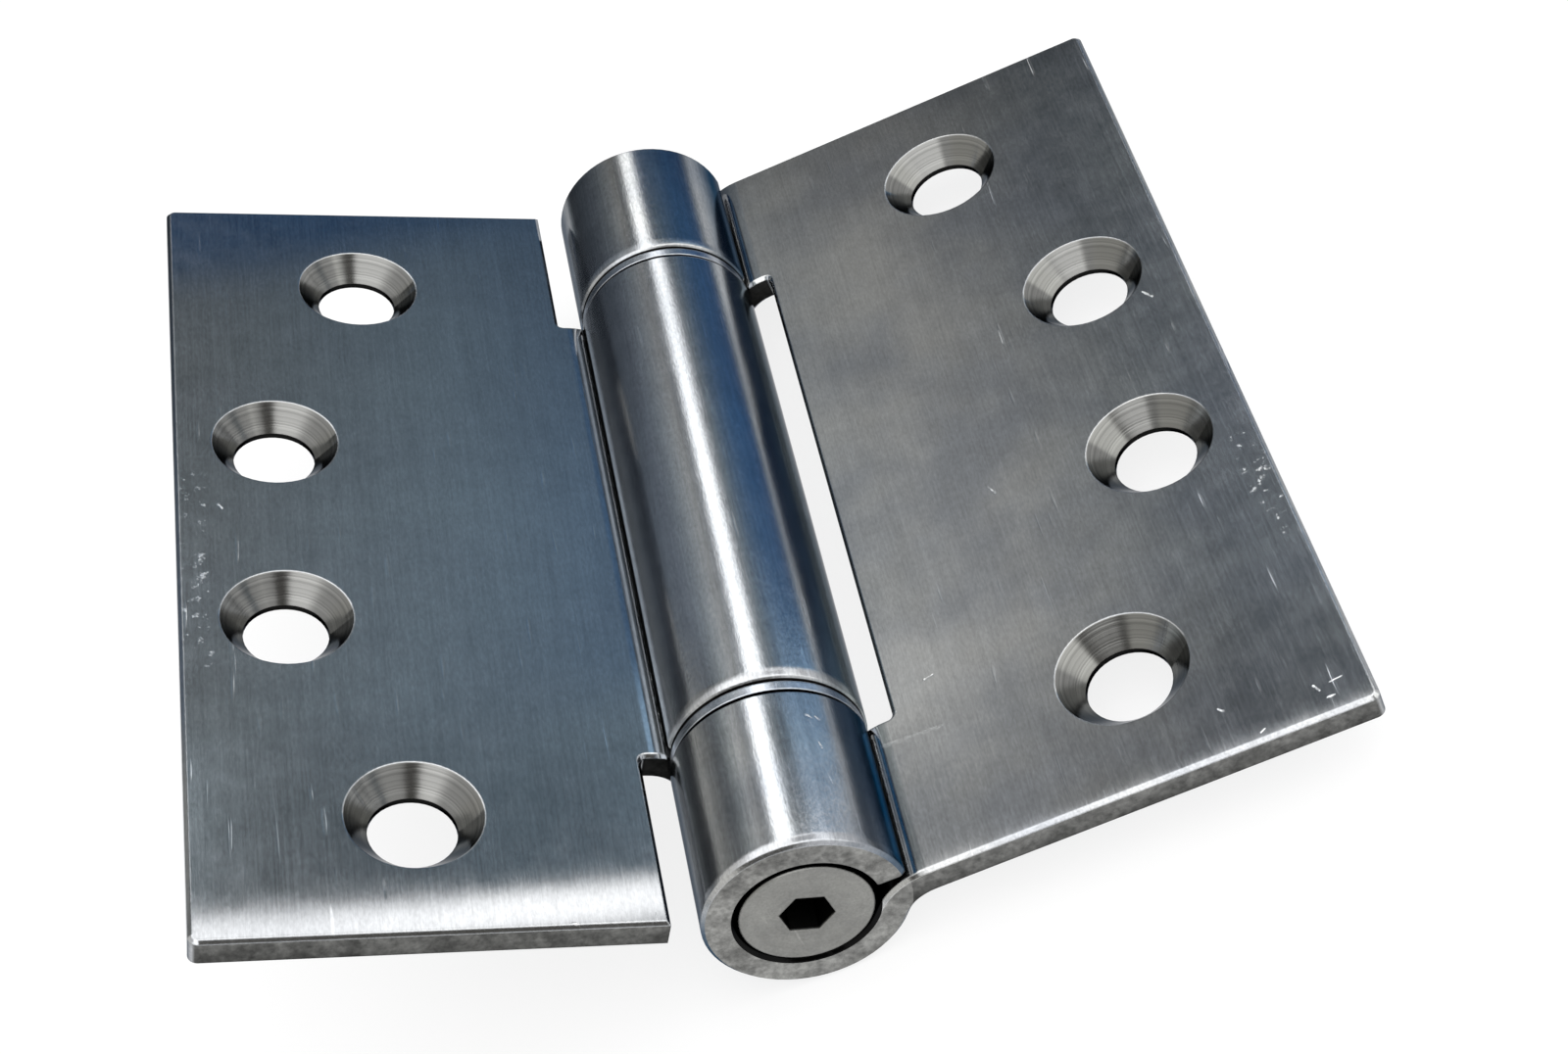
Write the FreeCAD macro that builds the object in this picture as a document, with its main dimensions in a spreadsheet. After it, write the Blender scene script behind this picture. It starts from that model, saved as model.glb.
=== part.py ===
"""Three-knuckle spring hinge, lying open as it would on a bench.

The pin axis runs along Y, with the hex socket at -Y. The frame leaf reaches out along +X with its
countersunk face up, and the door leaf reaches out along -X, swung up from flat by rest_tilt.
"""
import FreeCAD, Part
import math
import os
from types import SimpleNamespace

import Sketcher

from FreeCAD import Placement, Rotation, Vector

DRIVING_SIZES = {
    "leaf_height": 101.6,  # along the pin, both leaves
    "leaf_width": 52.5,  # from the pin axis to the outer edge
    "leaf_thick": 3.0,
    "leaf_offset": 0.5,  # countersunk face below the pin axis, half the gap of the closed hinge
    "rest_tilt": 30.0,  # door leaf above flat, degrees
    "knuckle_radius": 9.35,
    "root_bend": 4.0,  # inside radius where a leaf turns down into its knuckle
    "seam_gap": 0.35,  # between the free end of the roll and its own leaf
    "knuckle_half": 31.3,  # half the length of the door leaf's knuckle
    "joint_gap": 1.4,  # between two knuckles
    "notch_reach": 11.9,  # pin axis to the edge of the door leaf beside the end knuckles
    "slot_reach": 11.8,  # pin axis to the edge of the frame leaf beside the middle knuckle
    "inner_corner": 0.6,  # corner radius of the notches and the slot
    "outer_corner": 0.9,  # corner radius of the leaves
    "tip_round": 0.6,  # corners of the roll's free end
    "edge_break": 0.35,  # chamfer of the edges that are handled
    "hole_near": 32.8,  # pin axis to the end pair of screw holes
    "hole_far": 42.6,  # pin axis to the middle pair of screw holes
    "hole_pitch": 24.94,  # between neighbouring screw holes, along the pin
    "screw_radius": 4.0,
    "sink_radius": 6.2,
    "sink_angle": 82.0,
    "running_fit": 0.05,  # radial clearance of what turns
    "seat_fit": 0.02,  # radial clearance of what is pressed or pinned
    "face_gap": 0.1,  # between faces that turn past each other
    "flange_gap": 0.2,  # on each side of a bush's flange, where the joint shows as two dark lines
    "flange_step": 0.2,  # flange below the barrel's surface
    "nose_radius": 6.05,  # turned-down end of the tension spindle, seen inside the knuckle
    "nose_length": 2.8,
    "nose_chamfer": 0.15,
    "end_chamfer": 0.4,
    "journal_radius": 5.0,
    "bush_reach": 7.0,  # sleeve of a bush into the middle knuckle
    "hex_flats": 4.4,
    "hex_depth": 6.0,
    "hex_turn": 27.0,  # a corner of the socket as it lies at rest, degrees from +X towards the underside
    "lock_pin_radius": 1.35,
    "lock_pin_root": 3.4,  # spindle axis to the inner end of the locking pin
    "lock_travel": 60.0,  # turn of the spindle from end to end of its slot, degrees
    "lock_rest": 75.0,  # where the locking pin rests, degrees from +X towards the underside
    "lock_play": 0.2,
    "wire_radius": 1.25,
    "coil_radius": 4.85,
    "coil_gap": 0.08,  # at least this between two turns of the wire
    "fork_radius": 3.3,
    "fork_play": 0.15,
    "anchor_length": 8.0,
    "dowel_radius": 1.5,
    "dowel_depth": 4.0,  # of a retaining pin in what it holds
}

UNDERSIDE = 90.0  # degrees from +X towards the underside
TANG_LAP = 15.0  # degrees of end coil past the bent-in end of the wire
TANG_SHARE = 0.92  # of the wire's radius, where its bent-in end has drawn thin
WIRE_SIDES = 8  # the wire is drawn with flats, which keeps its long helix light
LOCK_HOLES = 4  # round the spindle
PARTS_DIR = "parts"


class Term:
    """A size with its formula in the sheet, so that a feature is bound to what it was drawn from."""

    def __init__(self, value, formula=None):
        self.value = float(value)
        self.formula = formula or repr(value)

    def join(self, other, sign, value):
        """New term from this one, a sign and another term or number."""
        other = other if isinstance(other, Term) else Term(other)
        return Term(value(self.value, other.value), f"({self.formula} {sign} {other.formula})")

    def __add__(self, other):
        return self.join(other, "+", lambda a, b: a + b)

    def __sub__(self, other):
        return self.join(other, "-", lambda a, b: a - b)

    def __mul__(self, other):
        return self.join(other, "*", lambda a, b: a * b)

    def __truediv__(self, other):
        return self.join(other, "/", lambda a, b: a / b)

    def __neg__(self):
        return Term(-self.value, f"(-1 * {self.formula})")

    def whole(self):
        """Largest whole number that isn't above this term."""
        return Term(math.floor(self.value), f"floor({self.formula})")


ZERO = Term(0)
doc = FreeCAD.newDocument("spring_hinge")
sheet = doc.addObject("Spreadsheet::Sheet", "Sizes")
for row, (name, value) in enumerate(DRIVING_SIZES.items(), start=1):
    sheet.set(f"A{row}", name)
    sheet.set(f"B{row}", str(value))
    sheet.setAlias(f"B{row}", name)
doc.recompute()
S = SimpleNamespace(**{name: Term(sheet.get(name), f"Sizes.{name}") for name in DRIVING_SIZES})

# Sizes that several pieces share
half_height = S.leaf_height / 2
slot_half = S.knuckle_half + S.joint_gap
bore_radius = S.knuckle_radius - S.leaf_thick
head_radius = bore_radius - S.running_fit
seat_radius = bore_radius - S.seat_fit
bush_bore = S.journal_radius + S.running_fit
bush_end = S.knuckle_half - S.bush_reach
journal_end = bush_end - S.face_gap
coil_start = journal_end - S.wire_radius - S.face_gap
fork_length = S.wire_radius * 2 + S.face_gap * 2
fork_half = S.wire_radius + S.fork_play
anchor_back = journal_end - S.face_gap
anchor_face = anchor_back - S.anchor_length
coil_room = anchor_face - S.wire_radius - S.face_gap + coil_start
coil_turns = (coil_room / (S.wire_radius * 2 + S.coil_gap)).whole() - 0.5
spring_sweep = coil_turns * 360 - S.rest_tilt
coil_pitch = coil_room * 360 / (spring_sweep + 2 * TANG_LAP)
coil_length = coil_pitch * spring_sweep / 360
lap_rise = coil_pitch * TANG_LAP / 360
lock_place = (half_height + slot_half) / 2
plug_dowel_place = lock_place
anchor_dowel_place = anchor_face + S.anchor_length / 2


def body(label):
    """New body of the document; its label is the name of the piece."""
    piece = doc.addObject("PartDesign::Body", label)
    piece.Label = label
    return piece


def sketch(piece, name, role, offset=Placement()):
    """New sketch on one of its body's own origin planes."""
    new = piece.newObject("Sketcher::SketchObject", name)
    plane = next(item for item in piece.Origin.OriginFeatures if item.Role == role)
    new.AttachmentSupport = [(plane, "")]
    new.MapMode = "FlatFace"
    new.AttachmentOffset = offset
    return new


def dimension(drawing, name, kind, place, term):
    """Dimension of a sketch that takes its value from the sheet."""
    index = drawing.addConstraint(Sketcher.Constraint(kind, *place, term.value))
    drawing.renameConstraint(index, name)
    drawing.setExpression(f"Constraints.{name}", term.formula)


def polygon(drawing, points):
    """Closed outline of straight edges; each corner is a pair of terms."""
    corners = [Vector(x.value, y.value, 0) for x, y in points]
    following = corners[1:] + corners[:1]
    edges = [drawing.addGeometry(Part.LineSegment(a, b), False) for a, b in zip(corners, following)]
    for edge, after in zip(edges, edges[1:] + edges[:1]):
        drawing.addConstraint(Sketcher.Constraint("Coincident", edge, 2, after, 1))
    for edge, (x, y) in zip(edges, points):
        dimension(drawing, f"x{edge}", "DistanceX", (-1, 1, edge, 1), x)
        dimension(drawing, f"y{edge}", "DistanceY", (-1, 1, edge, 1), y)


def rectangle(drawing, x_low, x_high, y_low, y_high):
    """Rectangle between four terms."""
    polygon(drawing, [(x_low, y_low), (x_high, y_low), (x_high, y_high), (x_low, y_high)])


def circle(drawing, radius, x, y):
    """Circle of a radius about a centre, all three as terms."""
    edge = drawing.addGeometry(
        Part.Circle(Vector(x.value, y.value, 0), Vector(0, 0, 1), radius.value), False
    )
    dimension(drawing, f"r{edge}", "Radius", (edge,), radius)
    dimension(drawing, f"x{edge}", "DistanceX", (-1, 1, edge, 3), x)
    dimension(drawing, f"y{edge}", "DistanceY", (-1, 1, edge, 3), y)


def pad(piece, drawing, length, both_ways=False):
    """Pad of a sketch."""
    new = piece.newObject("PartDesign::Pad", drawing.Name + "Pad")
    new.Profile = drawing
    new.setExpression("Length", length.formula)
    new.Midplane = both_ways
    return new


def pocket(piece, drawing, length, both_ways=False, flipped=False):
    """Pocket of a sketch, which has to take something away."""
    doc.recompute()
    before = piece.Shape.Volume
    new = piece.newObject("PartDesign::Pocket", drawing.Name + "Pocket")
    new.Profile = drawing
    new.setExpression("Length", length.formula)
    new.Midplane = both_ways
    new.Reversed = flipped
    check_cut(piece, before, new)
    return new


def check_cut(piece, before, cut):
    """Stops the build when a cut has missed its body."""
    doc.recompute()
    if not piece.Shape.Volume < before:
        raise RuntimeError(f"{cut.Name} cuts nothing from {piece.Label}")


def revolve(piece, name, points):
    """Turned piece about the pin axis, from corners (distance along Y, radius)."""
    drawing = sketch(piece, name, "YZ_Plane")
    polygon(drawing, points)
    new = piece.newObject("PartDesign::Revolution", name + "Turned")
    new.Profile = drawing
    new.ReferenceAxis = (drawing, ["H_Axis"])
    new.Angle = 360
    doc.recompute()
    return new


def drill(piece, name, radius, turn, along, start, end):
    """Round hole square to the pin axis.

    turn is in degrees from +X towards the underside, along is the place on the pin axis, and the
    hole runs from start to end, both measured from the axis.
    """
    doc.recompute()
    before = piece.Shape.Volume
    way = Rotation(Vector(0, 1, 0), turn).multVec(Vector(1, 0, 0))
    new = piece.newObject("PartDesign::SubtractiveCylinder", name)
    new.Placement = Placement(Vector(0, along.value, 0) + way * start.value, Rotation(Vector(0, 0, 1), way))
    new.setExpression("Placement.Base.y", along.formula)
    new.setExpression("Radius", radius.formula)
    new.setExpression("Height", (end - start).formula)
    check_cut(piece, before, new)
    return new


def edge_dress(piece, kind, name, size, chosen):
    """Fillet or chamfer of the edges that a test picks."""
    doc.recompute()
    base = piece.Tip
    picked = [f"Edge{i}" for i, edge in enumerate(base.Shape.Edges, start=1) if chosen(edge)]
    if not picked:
        raise RuntimeError(f"{name} finds no edge on {piece.Label}")
    new = piece.newObject(f"PartDesign::{kind}", name)
    new.Base = (base, picked)
    new.setExpression("Radius" if kind == "Fillet" else "Size", size.formula)
    doc.recompute()
    return new


def near(a, b):
    """Whether two lengths are the same."""
    return abs(a - b) < 1e-4


def runs_along(edge, axis):
    """Whether an edge is straight and lies along an axis."""
    if edge.Curve.TypeId != "Part::GeomLine":
        return False
    return edge.Curve.Direction.cross(axis).Length < 1e-6


def lies_at(edge, **place):
    """Whether an edge lies wholly at the given x, y or z."""
    box = edge.BoundBox
    low = {"x": box.XMin, "y": box.YMin, "z": box.ZMin}
    high = {"x": box.XMax, "y": box.YMax, "z": box.ZMax}
    return all(near(low[k], v) and near(high[k], v) for k, v in place.items())


def roll_profile(drawing, side):
    """Section of a leaf with its rolled knuckle; side is 1 for a leaf along +X and -1 along -X."""
    thick, outer, bend = S.leaf_thick.value, S.knuckle_radius.value, S.root_bend.value
    face, bore, tip = -S.leaf_offset.value, bore_radius.value, S.seam_gap.value - S.leaf_offset.value
    width = side * S.leaf_width.value
    bend_y = face - thick - bend
    bend_centre = Vector(side * math.sqrt((outer + bend) ** 2 - bend_y ** 2), bend_y, 0)
    toward = Vector(bend_centre)
    toward.normalize()
    corners = [
        Vector(width, face, 0),
        Vector(bend_centre.x, face, 0),
        toward * bore,
        Vector(side * math.sqrt(bore ** 2 - tip ** 2), tip, 0),
        Vector(side * math.sqrt(outer ** 2 - tip ** 2), tip, 0),
        toward * outer,
        Vector(bend_centre.x, face - thick, 0),
        Vector(width, face - thick, 0),
    ]

    def line(first):
        start, end = corners[first], corners[(first + 1) % len(corners)]
        return drawing.addGeometry(Part.LineSegment(start, end), False)

    def arc(first, centre, turn):
        start, end = corners[first] - centre, corners[first + 1] - centre
        if turn * side < 0:
            start, end = end, start
        whole = Part.Circle(centre, Vector(0, 0, 1), start.Length)
        angles = [math.atan2(v.y, v.x) for v in (start, end)]
        return drawing.addGeometry(Part.ArcOfCircle(whole, *angles), False)

    origin = Vector(0, 0, 0)
    leaf_face = line(0)
    bend_outside = arc(1, bend_centre, 1)
    inside = arc(2, origin, -1)
    free_end = line(3)
    outside = arc(4, origin, 1)
    bend_inside = arc(5, bend_centre, -1)
    leaf_back = line(6)
    leaf_edge = line(7)

    def end_at(edge, corner):
        starts_there = (drawing.Geometry[edge].StartPoint - corners[corner]).Length < 1e-6
        return (edge, 1 if starts_there else 2)

    def meet(kind, first, second, corner):
        place = (*end_at(first, corner), *end_at(second, corner))
        drawing.addConstraint(Sketcher.Constraint(kind, *place))

    meet("Tangent", leaf_face, bend_outside, 1)
    meet("Tangent", bend_outside, inside, 2)
    meet("Coincident", inside, free_end, 3)
    meet("Coincident", free_end, outside, 4)
    meet("Tangent", outside, bend_inside, 5)
    meet("Tangent", bend_inside, leaf_back, 6)
    meet("Coincident", leaf_back, leaf_edge, 7)
    meet("Coincident", leaf_edge, leaf_face, 0)
    drawing.addConstraint([
        Sketcher.Constraint("Coincident", inside, 3, -1, 1),
        Sketcher.Constraint("Coincident", outside, 3, -1, 1),
        Sketcher.Constraint("Coincident", bend_inside, 3, bend_outside, 3),
        Sketcher.Constraint("Horizontal", leaf_face),
        Sketcher.Constraint("Horizontal", free_end),
        Sketcher.Constraint("Horizontal", leaf_back),
        Sketcher.Constraint("Vertical", leaf_edge),
    ])
    dimension(drawing, "bore", "Radius", (inside,), bore_radius)
    dimension(drawing, "barrel", "Radius", (outside,), S.knuckle_radius)
    dimension(drawing, "bend", "Radius", (bend_inside,), S.root_bend)
    dimension(drawing, "width", "DistanceX", (-1, 1, leaf_face, 1), S.leaf_width * side)
    dimension(drawing, "face", "DistanceY", (-1, 1, leaf_face, 1), -S.leaf_offset)
    dimension(drawing, "tip", "DistanceY", (-1, 1, free_end, 1), S.seam_gap - S.leaf_offset)


def rolled_leaf(label, side):
    """A leaf with a knuckle as long as itself, before any of the knuckle is cut away."""
    leaf = body(label)
    section = sketch(leaf, label + "Section", "XZ_Plane")
    roll_profile(section, side)
    pad(leaf, section, S.leaf_height, both_ways=True)
    return leaf


def cut_window(leaf, name, side, reach, y_low, y_high):
    """Takes the knuckle away between two places on the pin axis, up to reach on the leaf."""
    past = S.knuckle_radius + S.leaf_thick
    window = sketch(leaf, name, "XY_Plane")
    rectangle(window, -past * side, reach * side, y_low, y_high)
    pocket(leaf, window, past * 2, both_ways=True)


def dress_leaf(leaf, side, reach, knuckle_ends):
    """Rounds a leaf's corners and the free end of its roll, and breaks the edges that are handled."""
    width, tip = side * S.leaf_width.value, S.seam_gap.value - S.leaf_offset.value
    name = leaf.Label
    edge_dress(leaf, "Fillet", name + "Corners", S.outer_corner,
               lambda e: runs_along(e, Vector(0, 0, 1)) and lies_at(e, x=width))
    edge_dress(leaf, "Fillet", name + "InnerCorners", S.inner_corner,
               lambda e: runs_along(e, Vector(0, 0, 1)) and lies_at(e, x=side * reach.value)
               and e.BoundBox.Center.y ** 2 < (half_height.value - S.inner_corner.value) ** 2)
    edge_dress(leaf, "Fillet", name + "Tip", S.tip_round,
               lambda e: runs_along(e, Vector(0, 1, 0)) and lies_at(e, z=tip))
    ends = [sign * place.value for place in knuckle_ends for sign in (1, -1)]
    edge_dress(leaf, "Chamfer", name + "Edges", S.edge_break,
               lambda e: any(lies_at(e, y=end) for end in ends)
               and not runs_along(e, Vector(0, 0, 1))
               or runs_along(e, Vector(0, 1, 0)) and lies_at(e, x=width))


def screw_holes(leaf, side):
    """Four countersunk screw holes: the middle pair stands nearer the outer edge."""
    places = [
        (S.hole_near, S.hole_pitch * 1.5),
        (S.hole_far, S.hole_pitch * 0.5),
        (S.hole_far, -S.hole_pitch * 0.5),
        (S.hole_near, -S.hole_pitch * 1.5),
    ]
    offset = Placement(Vector(0, 0, -S.leaf_offset.value), Rotation())
    centres = sketch(leaf, leaf.Label + "Screws", "XY_Plane", offset)
    centres.setExpression("AttachmentOffset.Base.z", (-S.leaf_offset).formula)
    for reach, along in places:
        circle(centres, S.screw_radius, reach * side, along)
    doc.recompute()
    before = leaf.Shape.Volume
    holes = leaf.newObject("PartDesign::Hole", leaf.Label + "Holes")
    holes.Profile = centres
    holes.DepthType = "ThroughAll"
    holes.HoleCutType = "Countersink"
    holes.HoleCutCustomValues = True
    holes.setExpression("Diameter", (S.screw_radius * 2).formula)
    holes.setExpression("HoleCutDiameter", (S.sink_radius * 2).formula)
    holes.setExpression("HoleCutCountersinkAngle", S.sink_angle.formula)
    check_cut(leaf, before, holes)


def make_frame_leaf():
    """Leaf on the door frame: it carries the two end knuckles."""
    leaf = rolled_leaf("frame_leaf", 1)
    cut_window(leaf, "MiddleSlot", 1, S.slot_reach, -slot_half, slot_half)
    dress_leaf(leaf, 1, S.slot_reach, (half_height, slot_half))
    screw_holes(leaf, 1)
    cut_lock_slot(leaf)
    drill(leaf, "PlugPinHole", S.dowel_radius + S.seat_fit, UNDERSIDE, plug_dowel_place, ZERO,
          S.knuckle_radius * 2)
    return leaf


def cut_lock_slot(leaf):
    """Slot round the underside of the near knuckle, in which the locking pin travels."""
    half_width = S.lock_pin_radius + S.lock_play
    turned = Placement(Vector(0, 0, 0), Rotation(Vector(0, 1, 0), S.lock_rest.value))
    section = sketch(leaf, "LockSlotSection", "XY_Plane", turned)
    rectangle(section, bore_radius - S.lock_play, S.knuckle_radius + S.lock_play,
              -lock_place - half_width, -lock_place + half_width)
    doc.recompute()
    before = leaf.Shape.Volume
    groove = leaf.newObject("PartDesign::Groove", "LockSlot")
    groove.Profile = section
    groove.ReferenceAxis = (section, ["V_Axis"])
    groove.setExpression("Angle", S.lock_travel.formula)
    check_cut(leaf, before, groove)
    for name, turn in (("LockSlotStart", S.lock_rest), ("LockSlotEnd", S.lock_rest + S.lock_travel)):
        drill(leaf, name, half_width, turn.value, -lock_place, ZERO, S.knuckle_radius * 2)


def make_door_leaf():
    """Leaf on the door: it carries the long middle knuckle."""
    leaf = rolled_leaf("door_leaf", -1)
    beyond = half_height + S.leaf_thick
    cut_window(leaf, "NearNotch", -1, S.notch_reach, -beyond, -S.knuckle_half)
    cut_window(leaf, "FarNotch", -1, S.notch_reach, S.knuckle_half, beyond)
    dress_leaf(leaf, -1, S.notch_reach, (half_height, S.knuckle_half))
    screw_holes(leaf, -1)
    drill(leaf, "AnchorPinHole", S.dowel_radius + S.seat_fit, UNDERSIDE, anchor_dowel_place, ZERO,
          S.knuckle_radius * 2)
    return leaf


def swing_open(piece):
    """Turns a piece of the door side to where it lies at rest."""
    piece.Placement = Placement(Vector(0, 0, 0), Rotation(Vector(0, 1, 0), S.rest_tilt.value))
    piece.setExpression("Placement.Rotation.Angle", S.rest_tilt.formula)


def fork(piece, name, low, high):
    """Slot across the end of a turned piece, which takes the bent-in end of the spring's wire."""
    opening = sketch(piece, name, "YZ_Plane")
    rectangle(opening, low, high, -fork_half, fork_half)
    pocket(piece, opening, S.fork_radius * 3, both_ways=True)


def make_tension_spindle():
    """Spindle in the near knuckle: a key turns it to wind the spring, and a pin then locks it."""
    piece = body("tension_spindle")
    outer, shoulder = -half_height, -half_height + S.nose_length
    revolve(piece, "Spindle", [
        (outer, ZERO),
        (outer, S.nose_radius - S.nose_chamfer),
        (outer + S.nose_chamfer, S.nose_radius),
        (shoulder, S.nose_radius),
        (shoulder, head_radius),
        (-slot_half, head_radius),
        (-slot_half, S.journal_radius),
        (-journal_end, S.journal_radius),
        (-journal_end, S.fork_radius),
        (-journal_end + fork_length, S.fork_radius),
        (-journal_end + fork_length, ZERO),
    ])
    cut_hex_socket(piece)
    for i in range(LOCK_HOLES):
        turn = S.lock_rest.value + i * 360 / LOCK_HOLES
        drill(piece, f"LockHole{i}", S.lock_pin_radius + S.seat_fit, turn, -lock_place,
              S.lock_pin_root, S.knuckle_radius)
    fork(piece, "SpindleFork", -journal_end, -journal_end + fork_length)
    return piece


def cut_hex_socket(piece):
    """Socket for a hex key in the end of the spindle."""
    across = S.hex_flats / math.sqrt(3)
    half_flats = S.hex_flats / 2
    turned = Rotation(Vector(0, 0, -1), S.hex_turn.value)
    hexagon = sketch(piece, "HexSocket", "XZ_Plane", Placement(Vector(0, 0, half_height.value), turned))
    hexagon.setExpression("AttachmentOffset.Base.z", half_height.formula)
    hexagon.setExpression("AttachmentOffset.Rotation.Angle", S.hex_turn.formula)
    polygon(hexagon, [
        (across, ZERO),
        (across / 2, half_flats),
        (-across / 2, half_flats),
        (-across, ZERO),
        (-across / 2, -half_flats),
        (across / 2, -half_flats),
    ])
    pocket(piece, hexagon, S.hex_depth)


def make_pivot_plug():
    """Plug pinned in the far knuckle; the middle knuckle turns on its journal."""
    piece = body("pivot_plug")
    outer = half_height
    revolve(piece, "Plug", [
        (outer, ZERO),
        (outer, seat_radius - S.end_chamfer),
        (outer - S.end_chamfer, seat_radius),
        (slot_half, seat_radius),
        (slot_half, S.journal_radius),
        (journal_end, S.journal_radius),
        (journal_end, ZERO),
    ])
    drill(piece, "PlugPinSeat", S.dowel_radius + S.seat_fit, UNDERSIDE, plug_dowel_place,
          seat_radius - S.dowel_depth, S.knuckle_radius)
    return piece


def make_bush(label, sign):
    """Flanged bush between two knuckles; sign is -1 at the near joint and 1 at the far one."""
    piece = body(label)
    inner_face, outer_face = S.knuckle_half + S.flange_gap, slot_half - S.flange_gap
    flange_radius = S.knuckle_radius - S.flange_step
    revolve(piece, label + "Section", [
        (bush_end * sign, bush_bore),
        (outer_face * sign, bush_bore),
        (outer_face * sign, flange_radius),
        (inner_face * sign, flange_radius),
        (inner_face * sign, seat_radius),
        (bush_end * sign, seat_radius),
    ])
    return piece


def make_spring_anchor():
    """Anchor pinned in the middle knuckle; it holds the far end of the spring."""
    piece = body("spring_anchor")
    revolve(piece, "Anchor", [
        (anchor_face - fork_length, ZERO),
        (anchor_face - fork_length, S.fork_radius),
        (anchor_face, S.fork_radius),
        (anchor_face, seat_radius),
        (anchor_back, seat_radius),
        (anchor_back, ZERO),
    ])
    drill(piece, "AnchorPinSeat", S.dowel_radius + S.seat_fit, UNDERSIDE, anchor_dowel_place,
          seat_radius - S.dowel_depth, S.knuckle_radius)
    fork(piece, "AnchorFork", anchor_face - fork_length, anchor_face)
    return piece


def make_pin(label, radius, turn, along, start, end):
    """Round pin square to the pin axis, from start to end measured from the axis."""
    piece = body(label)
    way = Rotation(Vector(0, 1, 0), turn).multVec(Vector(1, 0, 0))
    rod = piece.newObject("PartDesign::AdditiveCylinder", label + "Rod")
    rod.Placement = Placement(way * start.value + Vector(0, along.value, 0), Rotation(Vector(0, 0, 1), way))
    rod.setExpression("Placement.Base.y", along.formula)
    rod.setExpression("Radius", radius.formula)
    rod.setExpression("Height", (end - start).formula)
    doc.recompute()
    return piece


def make_torsion_spring():
    """Close-wound spring with each end of its wire bent in across the bore.

    It winds left-handed, so that opening the door winds it tighter, away from the knuckle's wall.
    """
    piece = body("torsion_spring")
    start = Placement(Vector(0, 0, 0), Rotation(Vector(0, 1, 0), TANG_LAP))
    wire = sketch(piece, "Wire", "XY_Plane", start)
    step = 2 * math.pi / WIRE_SIDES
    polygon(wire, [
        (S.coil_radius + S.wire_radius * math.cos(i * step), S.wire_radius * math.sin(i * step) - coil_start)
        for i in range(WIRE_SIDES)
    ])
    coil = piece.newObject("PartDesign::AdditiveHelix", "Coil")
    coil.Profile = wire
    coil.ReferenceAxis = (wire, ["V_Axis"])
    coil.Mode = "pitch-turns-angle"
    coil.LeftHanded = True
    coil.setExpression("Pitch", coil_pitch.formula)
    coil.setExpression("Turns", ((spring_sweep + 2 * TANG_LAP) / 360).formula)
    doc.recompute()
    near_tang = lap_rise - coil_start
    for name, turn, along in (("NearTang", 0.0, near_tang),
                              ("FarTang", S.rest_tilt.value + 180, near_tang + coil_length)):
        way = Rotation(Vector(0, 1, 0), turn).multVec(Vector(1, 0, 0))
        tang = piece.newObject("PartDesign::AdditiveCylinder", name)
        tang.Placement = Placement(way * -S.fork_radius.value + Vector(0, along.value, 0),
                                   Rotation(Vector(0, 0, 1), way))
        tang.setExpression("Placement.Base.y", along.formula)
        tang.setExpression("Radius", (S.wire_radius * TANG_SHARE).formula)
        tang.setExpression("Height", (S.fork_radius + S.coil_radius).formula)
    doc.recompute()
    return piece


def make_pieces():
    """All pieces of the hinge."""
    door_side = [
        make_door_leaf(),
        make_spring_anchor(),
        make_pin("anchor_pin", S.dowel_radius, UNDERSIDE, anchor_dowel_place,
                 seat_radius - S.dowel_depth + S.face_gap, S.knuckle_radius - S.end_chamfer),
    ]
    for piece in door_side:
        swing_open(piece)
    return door_side + [
        make_frame_leaf(),
        make_pivot_plug(),
        make_pin("plug_pin", S.dowel_radius, UNDERSIDE, plug_dowel_place,
                 seat_radius - S.dowel_depth + S.face_gap, S.knuckle_radius - S.end_chamfer),
        make_bush("near_bush", -1),
        make_bush("far_bush", 1),
        make_tension_spindle(),
        make_pin("lock_pin", S.lock_pin_radius, S.lock_rest.value, -lock_place,
                 S.lock_pin_root + S.face_gap, S.knuckle_radius - S.end_chamfer),
        make_torsion_spring(),
    ]


def write(pieces):
    """Checks every object of the document and writes one STEP file for each piece."""
    doc.recompute()
    for item in doc.Objects:
        if "Invalid" in item.State or "Error" in item.State:
            raise RuntimeError(f"{item.Label} failed: {item.State}")
    os.makedirs(PARTS_DIR, exist_ok=True)
    for piece in pieces:
        if piece.Shape.isNull() or not piece.Shape.isValid() or len(piece.Shape.Solids) != 1:
            raise RuntimeError(f"{piece.Label} is not one sound solid")
        piece.Shape.exportStep(os.path.join(PARTS_DIR, piece.Label + ".step"))
        print(f"{piece.Label}: {piece.Shape.Volume:.1f} mm3")


write(make_pieces())
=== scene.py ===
"""Spring hinge lying open on a pale table: the look of every piece, in the frame of its solids.

The pin axis runs along Y with the hex socket at -Y. The frame leaf lies level along +X and the door
leaf rises along -X. Lengths are in metres and angles in degrees.
"""
import logging
import math
from collections.abc import Sequence
from dataclasses import dataclass, field
from enum import Enum

import bmesh
import bpy
from mathutils import Matrix, Vector


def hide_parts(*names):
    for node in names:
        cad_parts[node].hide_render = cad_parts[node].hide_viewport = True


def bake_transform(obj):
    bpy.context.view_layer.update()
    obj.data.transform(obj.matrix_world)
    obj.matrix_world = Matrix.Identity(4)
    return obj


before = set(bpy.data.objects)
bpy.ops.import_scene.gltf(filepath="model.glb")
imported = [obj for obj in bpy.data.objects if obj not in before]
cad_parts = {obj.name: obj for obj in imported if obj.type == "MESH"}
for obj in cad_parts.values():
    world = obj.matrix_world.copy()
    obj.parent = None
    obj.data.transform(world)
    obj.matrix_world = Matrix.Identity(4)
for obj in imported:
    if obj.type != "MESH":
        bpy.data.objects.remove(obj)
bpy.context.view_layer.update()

LOG = logging.getLogger("spring_hinge")
MILLIMETRE = 0.001
SLACK = 0.05 * MILLIMETRE
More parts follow.
